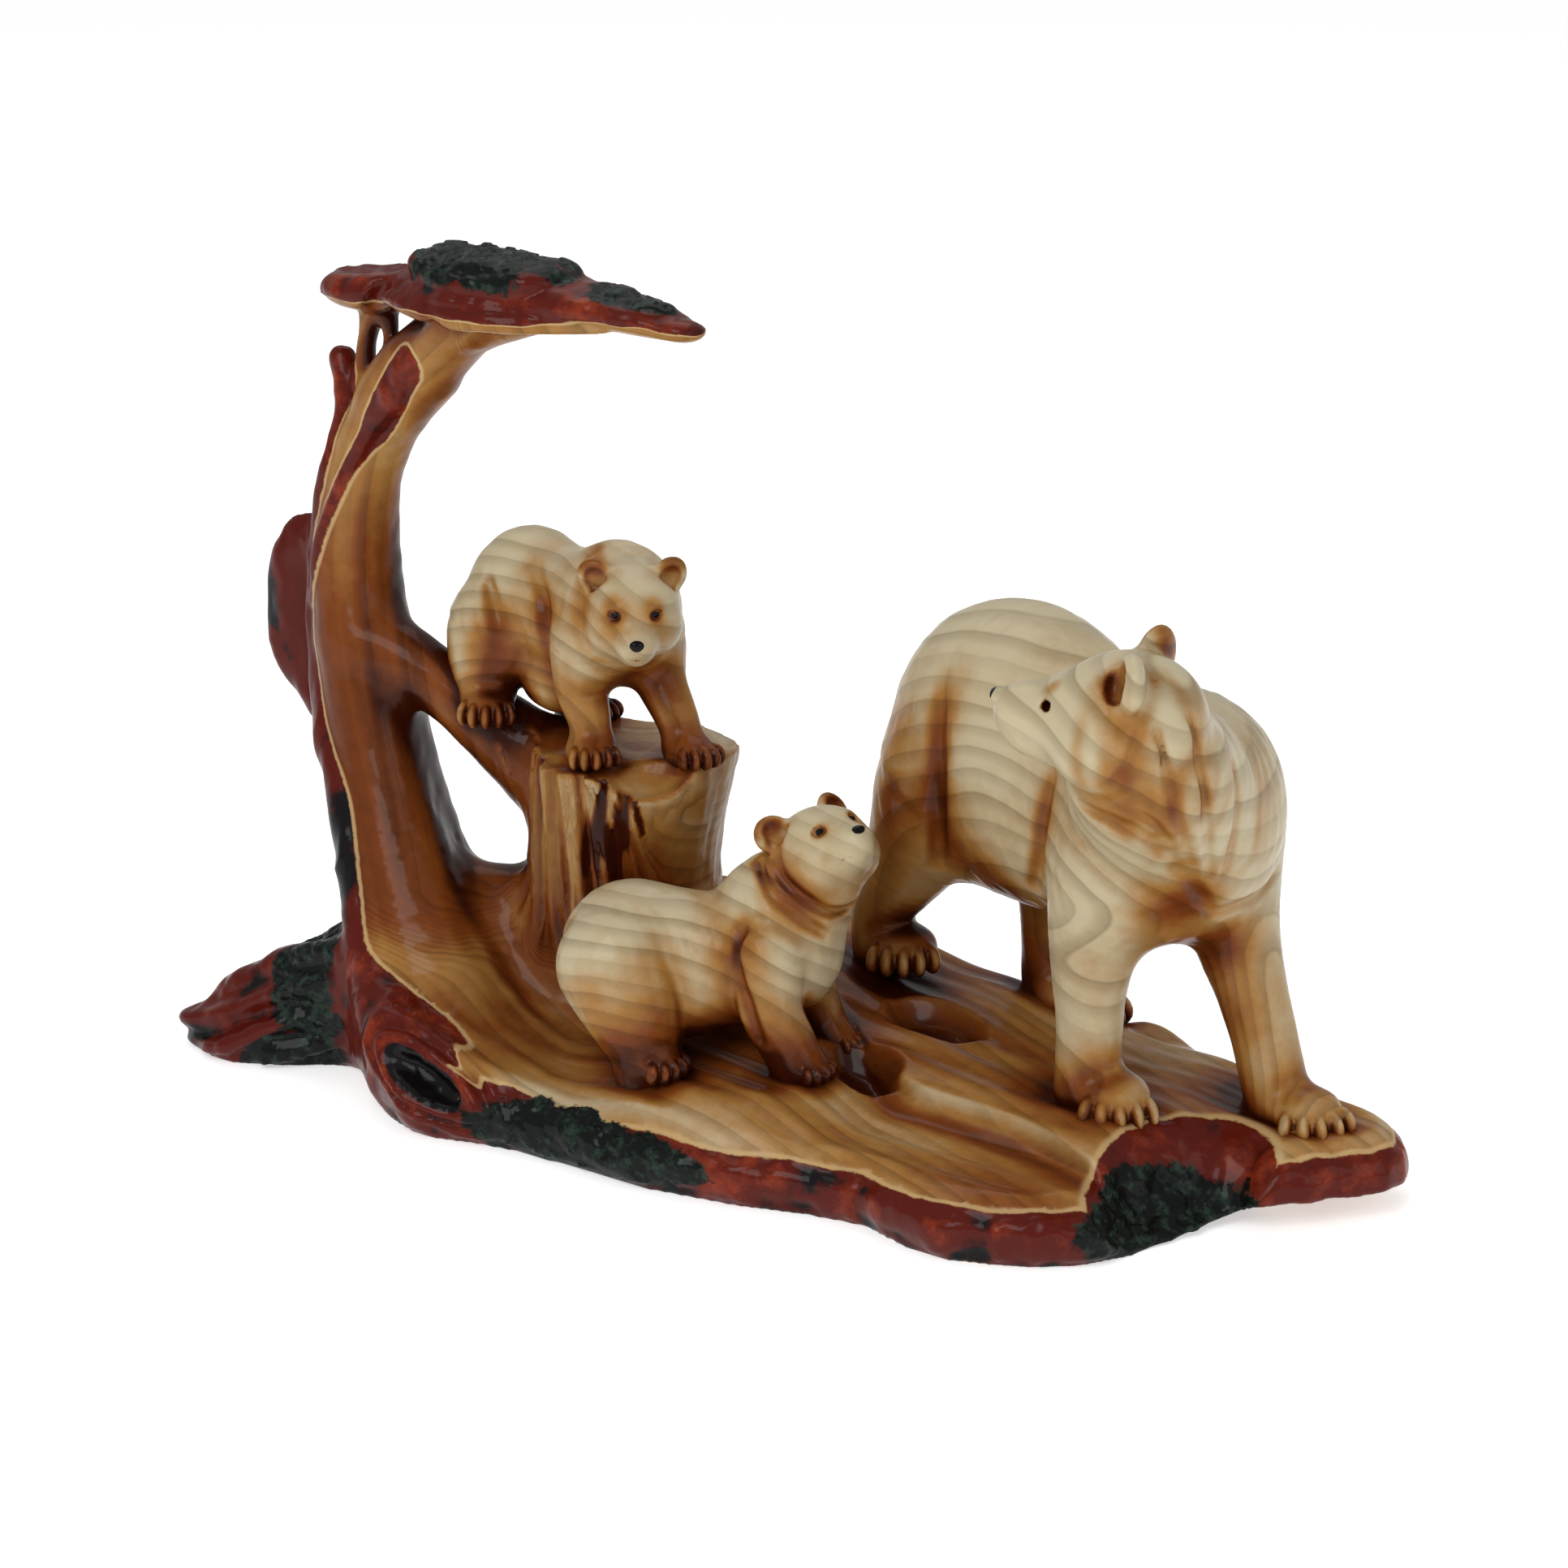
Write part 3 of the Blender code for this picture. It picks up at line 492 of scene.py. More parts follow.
mother = {
    "name": "mother_bear", "place": (57, 26, 0), "turn": -17, "blend": 9,
    "grid": 0.62, "box": ((-14, -48, 8), (118, 62, 124)), "most": 190000,
    "ringGap": 4.3, "pith": (-10, 36, 0.8, 0.25), "spread": 1.15, "strength": 1.0,
    "lumps": [((-33, 0, 73.2), (25.6, 21.5, 27.4)), ((-22, 0, 72), (26, 20, 26)), ((-6, 0, 68), (27, 20.5, 22)),
              ((11, 0, 70), (21, 19, 22)), ((18, -1.5, 70), (17.5, 17, 20))],
    "limbs": [
        ([(17, 0, 76), (26, -11, 80), (34, -22, 88)], [17, 16.5, 14.5], 8),
        ([(15, -13, 62), (12, -15.5, 46), (12, -16, 32), (12, -16, 20)], [12.5, 8, 6.2, 6.4], 5),
        ([(17, 10, 62), (22.5, 10.5, 46), (28.5, 12, 30), (32, 13, 17)], [11.5, 7.8, 6.2, 6.2], 5),
        ([(-39, -9, 64), (-46, -13, 50), (-53, -16, 36), (-53, -16, 29)], [15.5, 9.5, 5.6, 5.6], 5),
        ([(-34, 9, 64), (-31, 10, 48), (-32, 10, 34), (-31, 10, 20)], [15, 9, 6.2, 6.2], 5),
    ],
    "paws": [((18.5, -15, 19.6), 7.5, -8, -32), ((38.5, 14, 16.8), 7.5, -6, -20),
             ((-47, -15, 30.6), 7.2, -6, -36), ((-25, 10.5, 20.5), 8.5, -8, 0)],
    "head": {"centre": (35.4, -29.5, 98.2), "size": 13, "turn": (-142, 6, 0), "lift": 0.16, "reach": 1.18,
             "ear": 1.2, "muzzle": 1.2, "join": 0.25, "earUp": 0.74, "eye": (0.83, 0.37, 0.15)},
    "blush": [((-27, -22, 72), (4, 9, 20), 0.5), ((-42, -24, 58), (8, 9, 12), 0.33), ((-40, -21, 77), 7, 0.3),
              ((-21, -18, 55), 7, 0.5), ((-15, -13, 49), 7, 0.6), ((4, -21, 72), (3, 5, 9), 0.35),
              ((49, -22, 94), 12, 0.12), ((44, -30, 84), (9, 9, 4), 0.3), ((42, -7, 78), 9, 0.15),
              ((30, -41, 106), 2.5, 0.4), ((41, -37, 109), 2, 0.4), ((45, -36, 91), 4, 0.4),
              ((47, -37, 101), 3, 0.35), ((33, -10, 61), 5, 0.5), ((29, -13, 58), 6, 0.5),
              ((17, -21, 22), 6, 0.4), ((25, 2, 48), 6, 0.7), ((26, 5, 34), 6, 0.35), ((39, 16, 20), 8, 0.3),
              ((-47, -16, 34), 8, 0.35), ((-32, 4, 30), 8, 0.6)],
    "creases": [
        ([(-31, -19, 90), (-28, -22, 80), (-27, -22.6, 72), (-28, -21.5, 62), (-32, -18, 52)],
         [0.4, 1.2, 1.3, 1.2, 0.5], 3.5),
        ([(4, -20, 78), (3, -21, 70), (1, -20, 62), (-4, -17, 55)], [0.3, 0.9, 0.9, 0.4], 2.8),
        ([(32, -35.8, 83), (39.8, -34, 81), (42.5, -27.3, 76.7), (38.2, -17.5, 69), (35, -10.1, 62.7),
          (32.7, -5, 57)], [0.8, 1.5, 1.6, 1.5, 1.3, 0.9], 1.8),
        ([(32.7, -5, 57), (33.3, 0.5, 57.2), (32, 7, 58), (30, 13, 61)], [0.9, 1.3, 1.2, 0.6], 1.8),
        ([(47.6, -35.9, 99.9), (46.2, -36.7, 94.6), (43.5, -37.8, 90.5)], [0.15, 0.3, 0.15], 2.0),
        ([(49.1, -33, 100.5), (47.6, -28.8, 90.7), (46.3, -24.6, 80.8), (37.2, -12.7, 67.2)],
         [0.15, 0.35, 0.4, 0.15], 2.0),
        ([(49.4, -26.1, 102.3), (48.2, -22.4, 92.7), (46.5, -18.6, 81.2), (37.5, -9.7, 66.7)],
         [0.15, 0.35, 0.5, 0.15], 2.0),
        ([(43.9, -10.9, 89.6), (43.1, -8.7, 78.6), (38, -6.7, 67)], [0.15, 0.4, 0.15], 2.0),
        ([(43.5, -32.4, 84.4), (44.8, -28.8, 81.2), (41.8, -21.5, 74.6)], [0.2, 0.6, 0.2], 1.4),
    ],
}

lowCub = {
    "name": "cub_on_the_ground", "place": (-3, -14.6, 0), "turn": 31, "blend": 4.5,
    "grid": 0.4, "box": ((-40, -44, 8), (34, 18, 78)), "most": 150000,
    "ringGap": 3.2, "pith": (-28, -4, 0.8, 0.25), "spread": 1.7, "strength": 0.72, "ground": 17, "feet": 0.5,
    "lumps": [((-18.5, 0, 38), (14, 12, 13.5)), ((-4, 0, 36.5), (17, 12, 13)), ((9, 0, 41), (12.5, 11.5, 14.5)),
              ((-14, -2, 29), (12, 9, 8))],
    "limbs": [
        ([(9, 0, 47), (14, -0.8, 52), (17, -1.2, 56)], [11, 9.8, 8.6], 4),
        ([(8, -8.5, 41), (8.5, -10, 31), (12.5, -10, 22), (14, -9.5, 14)], [7.5, 6.0, 5.2, 5.0], 1.3),
        ([(11, 7, 38), (14, 7, 28), (17, 7, 20), (17.5, 7, 13)], [6.5, 5.2, 4.6, 4.8], 3),
        ([(-21, -6.5, 37), (-18, -8.5, 31), (-15.5, -10, 22), (-14.5, -10, 13)], [11.5, 10.2, 6.8, 6.2], 1.3),
        ([(-22, 8, 34), (-18, 9.5, 26), (-20, 9.5, 18), (-20, 9.5, 12)], [10, 7, 5, 5], 3),
    ],
    "paws": [((15.5, -11.5, 20.2), 4.4, -8, -32), ((19.5, 6, 19.6), 4.2, -6, -15),
             ((-13, -12.5, 20.4), 5.2, -8, -38)],
    "head": {"centre": (17.6, -1.4, 59.3), "size": 9.3, "turn": (-51, 36, 10), "lift": 0.0, "reach": 0.96,
             "ear": 1.12, "muzzle": 1.0, "join": 0.12, "earUp": 0.72, "eye": (0.80, 0.42, 0.27)},
    "blush": [((-17, -16, 23), 5, 0.8), ((-21, -19, 33), 5, 0.35), ((-11, -17, 31), 3, 0.6),
              ((-14, -15, 40), 3, 0.4), ((-5, -6, 22), 6, 0.7), ((4, -12, 44), 3, 0.5), ((11, -15, 31), 5, 0.4),
              ((17, -13, 20), 5, 0.6), ((9, -8, 57), 3, 0.6), ((14, -11, 53), 3, 0.5), ((16, -10, 49), 4, 0.35),
              ((25, -2, 52), 4, 0.35), ((-2, -11, 41), 6, 0.25), ((-31, -4, 42), 3, 0.45),
              ((-28, -15, 33), 4, 0.4)],
    "creases": [
        ([(3, -11, 47), (3, -13, 38), (5, -14.5, 32), (7, -14.5, 26)], [0.2, 0.7, 0.8, 0.4], 3.0),
        ([(8.1, -5.3, 61.5), (9.6, -8, 57), (14, -10.5, 53.2), (19.1, -8.8, 49.8), (23.1, -3.6, 49.3)],
         [0.3, 0.8, 1.0, 0.9, 0.4], 1.8),
        ([(5.5, -3.2, 57.6), (8.6, -9.7, 53.5), (14.1, -10.9, 49.3), (18.4, -8.5, 45.5)], [0.2, 0.6, 0.7, 0.3],
         2.2),
    ],
}

highCub = {
    "name": "cub_on_the_stump", "place": (-54, 2, 0), "turn": -8, "blend": 4.5,
    "grid": 0.4, "box": ((-88, -26, 62), (-6, 24, 114)), "most": 150000,
    "ringGap": 3.2, "pith": (-4, 70, 0.7, 0.2), "spread": 1.7, "strength": 0.72, "ground": 68, "feet": 0.3,
    "lumps": [((-14.3, 0, 92.5), (13.4, 12.8, 15)), ((1, 0, 92.6), (15, 12, 13)),
              ((11, 0, 94.5), (11.5, 11, 14)), ((-3, -2, 79.5), (9, 8, 7))],
    "limbs": [
        ([(13, -1, 97), (17, -3, 97), (20, -5, 96)], [11, 10, 8.5], 4),
        ([(12, -8, 90), (10, -8.5, 82), (12, -8.5, 75), (13, -8.5, 70)], [8, 5.4, 4.2, 4.2], 3),
        ([(14, 5, 89), (18, 4.5, 82), (23, 4.2, 75), (25, 4.2, 70)], [7.5, 5.2, 4.2, 4], 3),
        ([(-16, -7, 88), (-17, -9.5, 81), (-15.5, -11, 76)], [10.5, 7.6, 5.2], 2.5),
        ([(-13, 8, 86), (-9, 9, 80), (-12, 9, 74), (-12, 9, 68)], [10, 7, 4.8, 4.4], 3),
    ],
    "paws": [((14, -10, 69.6), 5.2, 0, -30), ((27.5, 3.5, 69.6), 5.2, 0, -8),
             ((-12.5, -13.5, 74.2), 5.8, -6, -45), ((-8, 9, 70), 5, 0, 0)],
    "head": {"centre": (21.8, -5.8, 98.6), "size": 9.2, "turn": (-39, -11, 0), "lift": -0.06, "reach": 0.95,
             "ear": 1.1, "muzzle": 1.0, "join": 0.12, "earUp": 0.66, "eye": (0.80, 0.42, 0.25)},
    "blush": [((-8, -15, 91), 3, 0.55), ((-8, -15, 83), 3, 0.55), ((3, -12, 95), 3, 0.55),
              ((0, -9, 84), 3, 0.5), ((16, -13, 98), 3, 0.5), ((-11, -18, 86), 5, 0.4),
              ((-10, -13, 73), 4, 0.7), ((12, -14, 82), 4, 0.35), ((19, -11, 71), 3, 0.5),
              ((32, 5, 70), 4, 0.7), ((24, 3, 81), 4, 0.35), ((25, -15, 97), 2.5, 0.4), ((31, -6, 96), 2, 0.35),
              ((25, -13, 101), 1.5, 0.5), ((30, -8, 101), 1.5, 0.5), ((17, -5, 83), 4, 0.5)],
    "creases": [
        ([(-14, -11.5, 98), (-9, -14, 93), (-7.5, -14.8, 87), (-9.5, -15, 79)], [0.3, 0.9, 1.0, 0.6], 3.2),
        ([(-5, -8, 103), (1.5, -11, 97), (3, -12.8, 90), (2, -12.5, 84)], [0.3, 0.9, 0.9, 0.6], 3.2),
    ],
}


def bearPoint(look, p):
    # from a bear's own axes to the drawing's
    return np.array(look["place"], float) + np.asarray(p, float) @ spin(look["turn"]).T


def bearLocal(look, p):
    # and back again
    return (np.asarray(p, float) - np.array(look["place"], float)) @ spin(look["turn"])


def headFrame(look):
    # the skull's middle, its axes and its radius
    h = look["head"]
    turn = spin(look["turn"]) @ spin(*h["turn"])
    return bearPoint(look, h["centre"]), turn, h["size"]


def headPoint(look, p):
    # from shares of the skull's radius to the drawing's mm
    centre, turn, size = headFrame(look)
    return centre + turn @ (np.asarray(p, float) * size)


def sculptHead(clay, look, fine):
    # eggs in shares of the skull's radius: skull, cheeks, muzzle, jaw, nose, ears
    h = look["head"]
    lift, reach, ear, up, wide = h["lift"], h["reach"], h["ear"], h["earUp"], h["muzzle"]
    ex, ey, ez = h["eye"]
    _, turn, size = headFrame(look)

    def egg(at, radii, blend, lean=(0, 0, 0), carve=False):
        clay.egg(headPoint(look, at), np.array(radii) * size, turn @ spin(*lean), blend * size, carve)

    egg((0, 0, 0), (1.0, 0.96, 0.92), h["join"])
    egg((-0.25, 0, 0.1), (0.9, 0.95, 0.85), h["join"])
    for side in (1, -1):
        egg((0.15, 0.54 * side, -0.32), (0.62, 0.46, 0.52), 0.2)
        egg((0.55, 0.34 * side, 0.34), (0.3, 0.2, 0.16), 0.2)  # brow
    egg((0.75 * reach, 0, -0.28 + lift), (0.72, 0.42 * wide, 0.38 * wide), 0.45)
    egg((1.15 * reach, 0, -0.26 + lift), (0.38, 0.34 * wide, 0.30 * wide), 0.25)
    egg((0.8 * reach, 0, -0.52 + lift / 2), (0.55, 0.32 * wide, 0.22 * wide), 0.2)
    egg((1.46 * reach, 0, -0.10 + lift), (0.12, 0.17, 0.11), 0.05)
    for side in (1, -1):
        lean = (20 * side, 0, -28 * side)
        egg((-0.2, 0.76 * side, up), (0.16 * ear, 0.36 * ear, 0.38 * ear), 0.14, lean)
        if fine:
            egg((-0.02, 0.80 * side, up + 0.03), (0.115 * ear, 0.24 * ear, 0.26 * ear), 0.06, lean, carve=True)
            egg((ex + 0.03, (ey + 0.02) * side, ez), (0.14, 0.13, 0.09), 0.12, carve=True)
            egg((ex - 0.03, ey * side, ez), (0.08, 0.09, 0.065), 0.04)
            egg((1.57 * reach, 0.09 * side, -0.13 + lift), (0.04, 0.035, 0.04), 0.02, carve=True)
            mouth = [(1.46 * reach, 0.02 * side, -0.38 + lift), (1.2 * reach, 0.27 * side, -0.44 + lift),
                     (0.9 * reach, 0.38 * side, -0.42 + lift)]
            clay.strand([headPoint(look, q) for q in mouth], np.array([0.035, 0.045, 0.035]) * size,
                        0.05 * size, carve=True)


def sculptBear(clay, look, fine=True):
    # body lumps and limbs run together, then flat paws with five toes fanned out, then the head and the cuts
    turn = spin(look["turn"])
    for centre, radii in look["lumps"]:
        clay.egg(bearPoint(look, centre), radii, turn, look["blend"])
    for points, radii, blend in look["limbs"]:
        clay.strand(bearPoint(look, points), radii, blend)
    for centre, size, pitch, yaw in look["paws"]:
        own = spin(yaw, pitch, 0)
        clay.egg(bearPoint(look, centre), (size, 0.92 * size, 0.62 * size), turn @ own, 2.5)
        for toe in range(-2, 3):
            fan = math.radians(24 * toe)
            at = np.array(centre) + own @ np.array([0.88 * math.cos(fan), math.sin(fan), -0.08]) * size
            lean = turn @ own @ spin(12 * toe, -22, 0)
            clay.egg(bearPoint(look, at), np.array((0.45, 0.205, 0.42)) * size, lean, 0.3)
    sculptHead(clay, look, fine)
    if fine:
        for points, radii, blend in look["creases"]:
            clay.strand(bearPoint(look, points), radii, blend, carve=True)


# a coarse copy of everything, which tells each piece how sheltered it is, for the painted shade of sheltered
# places

print("coarse block")
shelter = {
    "grid": 1.6, "box": ((-134, -62, -4), (128, 68, 176)),
    "heights": (3.0, 6.5, 12.0), "creaseShade": 1.4,     # where the clay is felt above the surface, in mm
    "shade": 0.95,      # how much darker the painted shade makes the colour where a place is wholly sheltered
}
whole = freshClay(*shelter["box"], shelter["grid"])
sculptBase(whole, fine=False)
sculptTree(whole, fine=False)
for look in (mother, lowCub, highCub):
    sculptBear(whole, look, fine=False)
whole.stand()


def openness(p, n):
    # mean of distance over height along the normal, at three heights: 1 in the open
    total = 0
    for h in shelter["heights"]:
        total = total + np.clip(whole.sample(p + n * h) / h, 0, 1)
    return total / len(shelter["heights"])


def creaseShadeAt(clay, p, n):
    # how far the clay closes in just above the surface: the measure for painted shade in creases
    near = np.clip(clay.sample(p + n * shelter["creaseShade"]) / shelter["creaseShade"], -1, 1)
    return np.clip(1 - near, 0, 1)


def placed(name, data):
    # a new object in the scene, at the origin
    item = bpy.data.objects.new(name, data)
    bpy.context.scene.collection.objects.link(item)
    return item


def thinned(points, faces, most):
    # the same surface with fewer triangles, by collapsing its flattest edges
    if 2 * len(faces) <= most:
        return points, faces
    mesh = meshFrom("draft", points, faces)
    item = placed("draft", mesh)
    step = item.modifiers.new("thin", "DECIMATE")
    step.ratio = most / (2 * len(faces))
    step.use_collapse_triangulate = True
    bpy.context.view_layer.update()
    ready = item.evaluated_get(bpy.context.evaluated_depsgraph_get())
    done = bpy.data.meshes.new_from_object(ready)
    out = np.empty(len(done.vertices) * 3)
    done.vertices.foreach_get("co", out)
    corners = np.empty(len(done.loops), np.int32)
    done.loops.foreach_get("vertex_index", corners)
    bpy.data.objects.remove(item, do_unlink=True)
    for spent in (mesh, done):
        bpy.data.meshes.remove(spent)
    return out.reshape(-1, 3), corners.reshape(-1, 3)


def meshFrom(name, points, faces):
    # a mesh of faces that all have the same number of sides, shaded smooth
    sides = faces.shape[1]
    mesh = bpy.data.meshes.new(name)
    mesh.vertices.add(len(points))
    mesh.vertices.foreach_set("co", np.ascontiguousarray(points, np.float32).ravel())
    mesh.loops.add(faces.size)
    mesh.loops.foreach_set("vertex_index", np.ascontiguousarray(faces, np.int32).ravel())
    mesh.polygons.add(len(faces))
    mesh.polygons.foreach_set("loop_start", np.arange(0, faces.size, sides, dtype=np.int32))
    mesh.polygons.foreach_set("use_smooth", np.ones(len(faces), bool))
    mesh.update(calc_edges=True)
    return mesh


def pieceFrom(name, points, faces, layers, material):
    # the mesh in metres in the part's frame, with one number layer for each look
    mesh = meshFrom(name, (points + drawnToFrame) * mm, faces)
    for layer, values in layers.items():
        room = mesh.attributes.new(layer, "FLOAT", "POINT")
        room.data.foreach_set("value", np.ascontiguousarray(values, np.float32))
    mesh.materials.append(material)
    item = placed(name, mesh)
    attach(item, "root")
    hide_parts("bear_family_casting")
    print("piece", name, len(points), "points", len(faces), "faces")


# finish: painted wood, bark and moss under lacquer

class Wire:
    # a socket that can be used in sums
    def __init__(self, bench, socket):
        self.bench, self.socket = bench, socket

    def sum(self, kind, a, b=None):
        return self.bench.node("ShaderNodeMath", {"operation": kind}, [a] if b is None else [a, b])

    def __add__(self, other): return self.sum("ADD", self, other)
    def __radd__(self, other): return self.sum("ADD", other, self)
    def __sub__(self, other): return self.sum("SUBTRACT", self, other)
    def __rsub__(self, other): return self.sum("SUBTRACT", other, self)
    def __mul__(self, other): return self.sum("MULTIPLY", self, other)
    def __rmul__(self, other): return self.sum("MULTIPLY", other, self)
    def __truediv__(self, other): return self.sum("DIVIDE", self, other)
    def __rtruediv__(self, other): return self.sum("DIVIDE", other, self)


class Bench:
    # one material's nodes
    def __init__(self, name):
        self.material = bpy.data.materials.new(name)
        self.material.use_nodes = True
        self.nodes = self.material.node_tree.nodes
        self.links = self.material.node_tree.links
        self.shader = self.nodes["Principled BSDF"]

    def feed(self, socket, value):
        if isinstance(value, Wire):
            self.links.new(value.socket, socket)
        else:
            socket.default_value = value

    def node(self, kind, settings=None, values=None, out=0):
        # any node: its settings first, then the values or wires of its sockets
        made = self.nodes.new(kind)
        for key, value in (settings or {}).items():
            setattr(made, key, value)
        pairs = enumerate(values) if isinstance(values, list) else (values or {}).items()
        for key, value in pairs:
            self.feed(made.inputs[key], value)
        return Wire(self, made.outputs[out])

    def layer(self, name):
        # one of the number layers that the mesh carries
        return self.node("ShaderNodeAttribute", {"attribute_name": name}, out="Fac")

    def within(self, value, low, high):
        # 0 at low, 1 at high, eased between
        return self.node("ShaderNodeMapRange", {"interpolation_type": "SMOOTHSTEP"},
                         {0: value, 1: low, 2: high, 3: 0.0, 4: 1.0})

    def mix(self, a, b, share, kind="MIX"):
        # colour a turned towards b, or towards a times b, by this share
        made = self.nodes.new("ShaderNodeMix")
        made.data_type, made.blend_type = "RGBA", kind
        made.clamp_factor = True
        for key, value in ((0, share), (6, a), (7, b)):
            self.feed(made.inputs[key], value)
        return Wire(self, made.outputs[2])

    def grainy(self, place, size, detail=3.0, rough=0.55):
        # noise whose patches are about this many mm across
        values = {"Vector": place, "Scale": 1.0 / (size * mm), "Detail": detail, "Roughness": rough}
        return self.node("ShaderNodeTexNoise", {}, values, out="Fac")


def paint(name):
    # a named hex colour as linear red, green, blue, alpha
    code = finish[name]
    c = np.array([int(code[i:i + 2], 16) for i in (0, 2, 4)]) / 255
    c = np.where(c <= 0.04045, c / 12.92, ((c + 0.055) / 1.055) ** 2.4)
    return (*[float(v) for v in c], 1.0)


finish = {
    "pale": "B8AB8C", "tan": "9C7038", "brown": "733A14", "deep": "330F03", "ring": "9A8F70", "black": "060506",
    "red": "511309", "ember": "94381A", "char": "0E0B0D", "moss": "050B08", "mossRim": "24352B",
    "seam": "C4A878",
    "stains": [("tan", -0.05, 0.45), ("brown", 0.3, 0.8), ("deep", 0.7, 1.25)],     # where each starts, is full
    "rough": 0.30, "shine": 1.14, "coat": 0.2, "coatRough": 0.12, "bump": 0.12, "bumpDeep": 0.0006,
}


def woodFinish(name, ringGap, ringStrength=0.48, mixed=False):
    # rings: the share of the way to the next ring, dark just before it; stain: darker with the stains, the
    # painted shade and noise
    b = Bench(name)
    place = b.node("ShaderNodeTexCoord", out="Object")
    stainAndShade, creaseShade = b.layer("stainAndShade"), b.layer("creaseShade")
    wide = b.grainy(place, 26.0)
    fineGrain = b.grainy(place, 3.0, 4.0, 0.65)
    along = b.layer("grain") / ringGap + (wide - 0.5) * 0.5
    ring = b.node("ShaderNodeMath", {"operation": "FLOOR"}, [along])
    part = b.node("ShaderNodeMath", {"operation": "FRACT"}, [along])
    chance = b.node("ShaderNodeTexWhiteNoise", {"noise_dimensions": "1D"}, {"W": ring}, out="Value")
    band = b.within(part, 0.25, 0.8) * (1.0 - b.within(part, 0.86, 1.0))
    line = b.within(part, 0.78, 0.88) * (1.0 - b.within(part, 0.9, 0.98))
    rings = (band * 0.75 + line * 0.25) * (0.3 + chance * 0.9) * ringStrength
    # the stain ramp follows the stains and the painted shade of sheltered places
    depth = stainAndShade + (wide - 0.5) * 0.5 + (fineGrain - 0.5) * 0.22
    colour = paint("pale")
    for stain, start, full in finish["stains"]:
        colour = b.mix(colour, paint(stain), b.within(depth, start, full))
    colour = b.mix(colour, paint("ring"), rings, "MULTIPLY")
    # painted shade: deep brown in creases and where stained or sheltered
    colour = b.mix(colour, paint("deep"), b.within(creaseShade + stainAndShade * 0.35, 0.55, 1.15) * 0.85)
    rough = finish["rough"] + fineGrain * 0.14
    if mixed:
        # bark over wood with a pale seam, charred and in painted shade in its cracks, and moss over both
        bark, moss, char = b.layer("bark"), b.layer("moss"), b.layer("char")
        streak = b.grainy(place, 9.0, 6.0, 0.7)
        # ember streaks, fewer where stained, charred or in painted shade: partly a painted highlight on open
        # bark
        glow = b.within(streak - stainAndShade * 0.2 - char * 0.3, 0.34, 0.66) * 0.8
        # char, with painted shade in creases
        scorch = b.within(char + (streak - 0.5) * 1.5 + creaseShade * 0.5, 0.45, 0.8)
        barkColour = b.mix(b.mix(paint("red"), paint("ember"), glow), paint("char"), scorch)
        seam = b.within(bark, -0.8, -0.4) * (1.0 - b.within(bark, -0.1, 0.2))
        colour = b.mix(colour, paint("seam"), seam * 0.6)
        colour = b.mix(colour, barkColour, b.within(bark + (fineGrain - 0.5) * 1.2, -0.15, 0.15))
        # moss: its lighter rim colour on open places, darker in the painted shade of creases
        mossColour = b.mix(paint("moss"), paint("mossRim"), b.within(fineGrain + (1.0 - creaseShade) * 0.1, 0.58,
                                                                     0.8))
        mossShare = b.within(moss + (streak - 0.5) * 5.0, -0.1, 0.3)
        colour = b.mix(colour, mossColour, mossShare)
        rough = rough + mossShare * 0.12
    else:
        spot = b.within(b.layer("paint"), -0.06, 0.06)      # eyes and nose, black and glossy
        colour = b.mix(colour, paint("black"), spot)
        rough = rough * (1.0 - spot * 0.75)
    b.feed(b.shader.inputs["Base Color"], colour)
    b.feed(b.shader.inputs["Roughness"], rough)
    b.shader.inputs["IOR"].default_value = finish["shine"]
    b.shader.inputs["Coat Weight"].default_value = finish["coat"]
    b.shader.inputs["Coat Roughness"].default_value = finish["coatRough"]
    relief = {"Strength": finish["bump"], "Distance": finish["bumpDeep"], "Height": fineGrain * 0.4 + wide}
    b.feed(b.shader.inputs["Normal"], b.node("ShaderNodeBump", {}, relief, out="Normal"))
    return b.material


# the bears' meshes

def spotDepth(look, points):
    # eyes and nose pad: 1 less the scaled distance, times a size, in mm
    h = look["head"]
    centre, turn, size = headFrame(look)
    local = (points - centre) @ turn / size
    ex, ey, ez = h["eye"]
    eyes = [((ex, ey * side, ez), (0.12, 0.085, 0.065)) for side in (1, -1)]
    nose = ((1.60 * h["reach"], 0, -0.07 + h["lift"]), (0.17, 0.17, 0.125))
    spots = [1 - np.linalg.norm((local - c) / r, axis=1) for c, r in eyes + [nose]]
    return np.max(spots, axis=0) * size * 0.1


def bearGrain(look, q):
    # rings as they lie in a log: distance from a pith line that runs across the bear, bent by slow noise
    x, z, squash, lean = look["pith"]
    rings = np.sqrt(((q[:, 0] - x) * squash) ** 2 + (q[:, 2] - z) ** 2) + lean * q[:, 1]
    if look is mother:
        near = np.hypot(q[:, 0] - 4, q[:, 2] - 12) * 0.85       # right front leg: arcs round its back corner
        far = (q[:, 0] - 14) * 1.9 + (q[:, 2] - 20) * 0.45 + q[:, 1] * 0.5  # left front leg: lines along it
        leg = ease((60 - q[:, 2]) / 16) * ease(q[:, 0] / 8)
        left = ease((q[:, 1] + 2) / 8)
        rings = rings * (1 - leg) + (near * (1 - left) + far * left) * leg
    return rings + 1.6 * layered(q, 30, 2, 31) + 0.35 * noise(q, 8, 5)


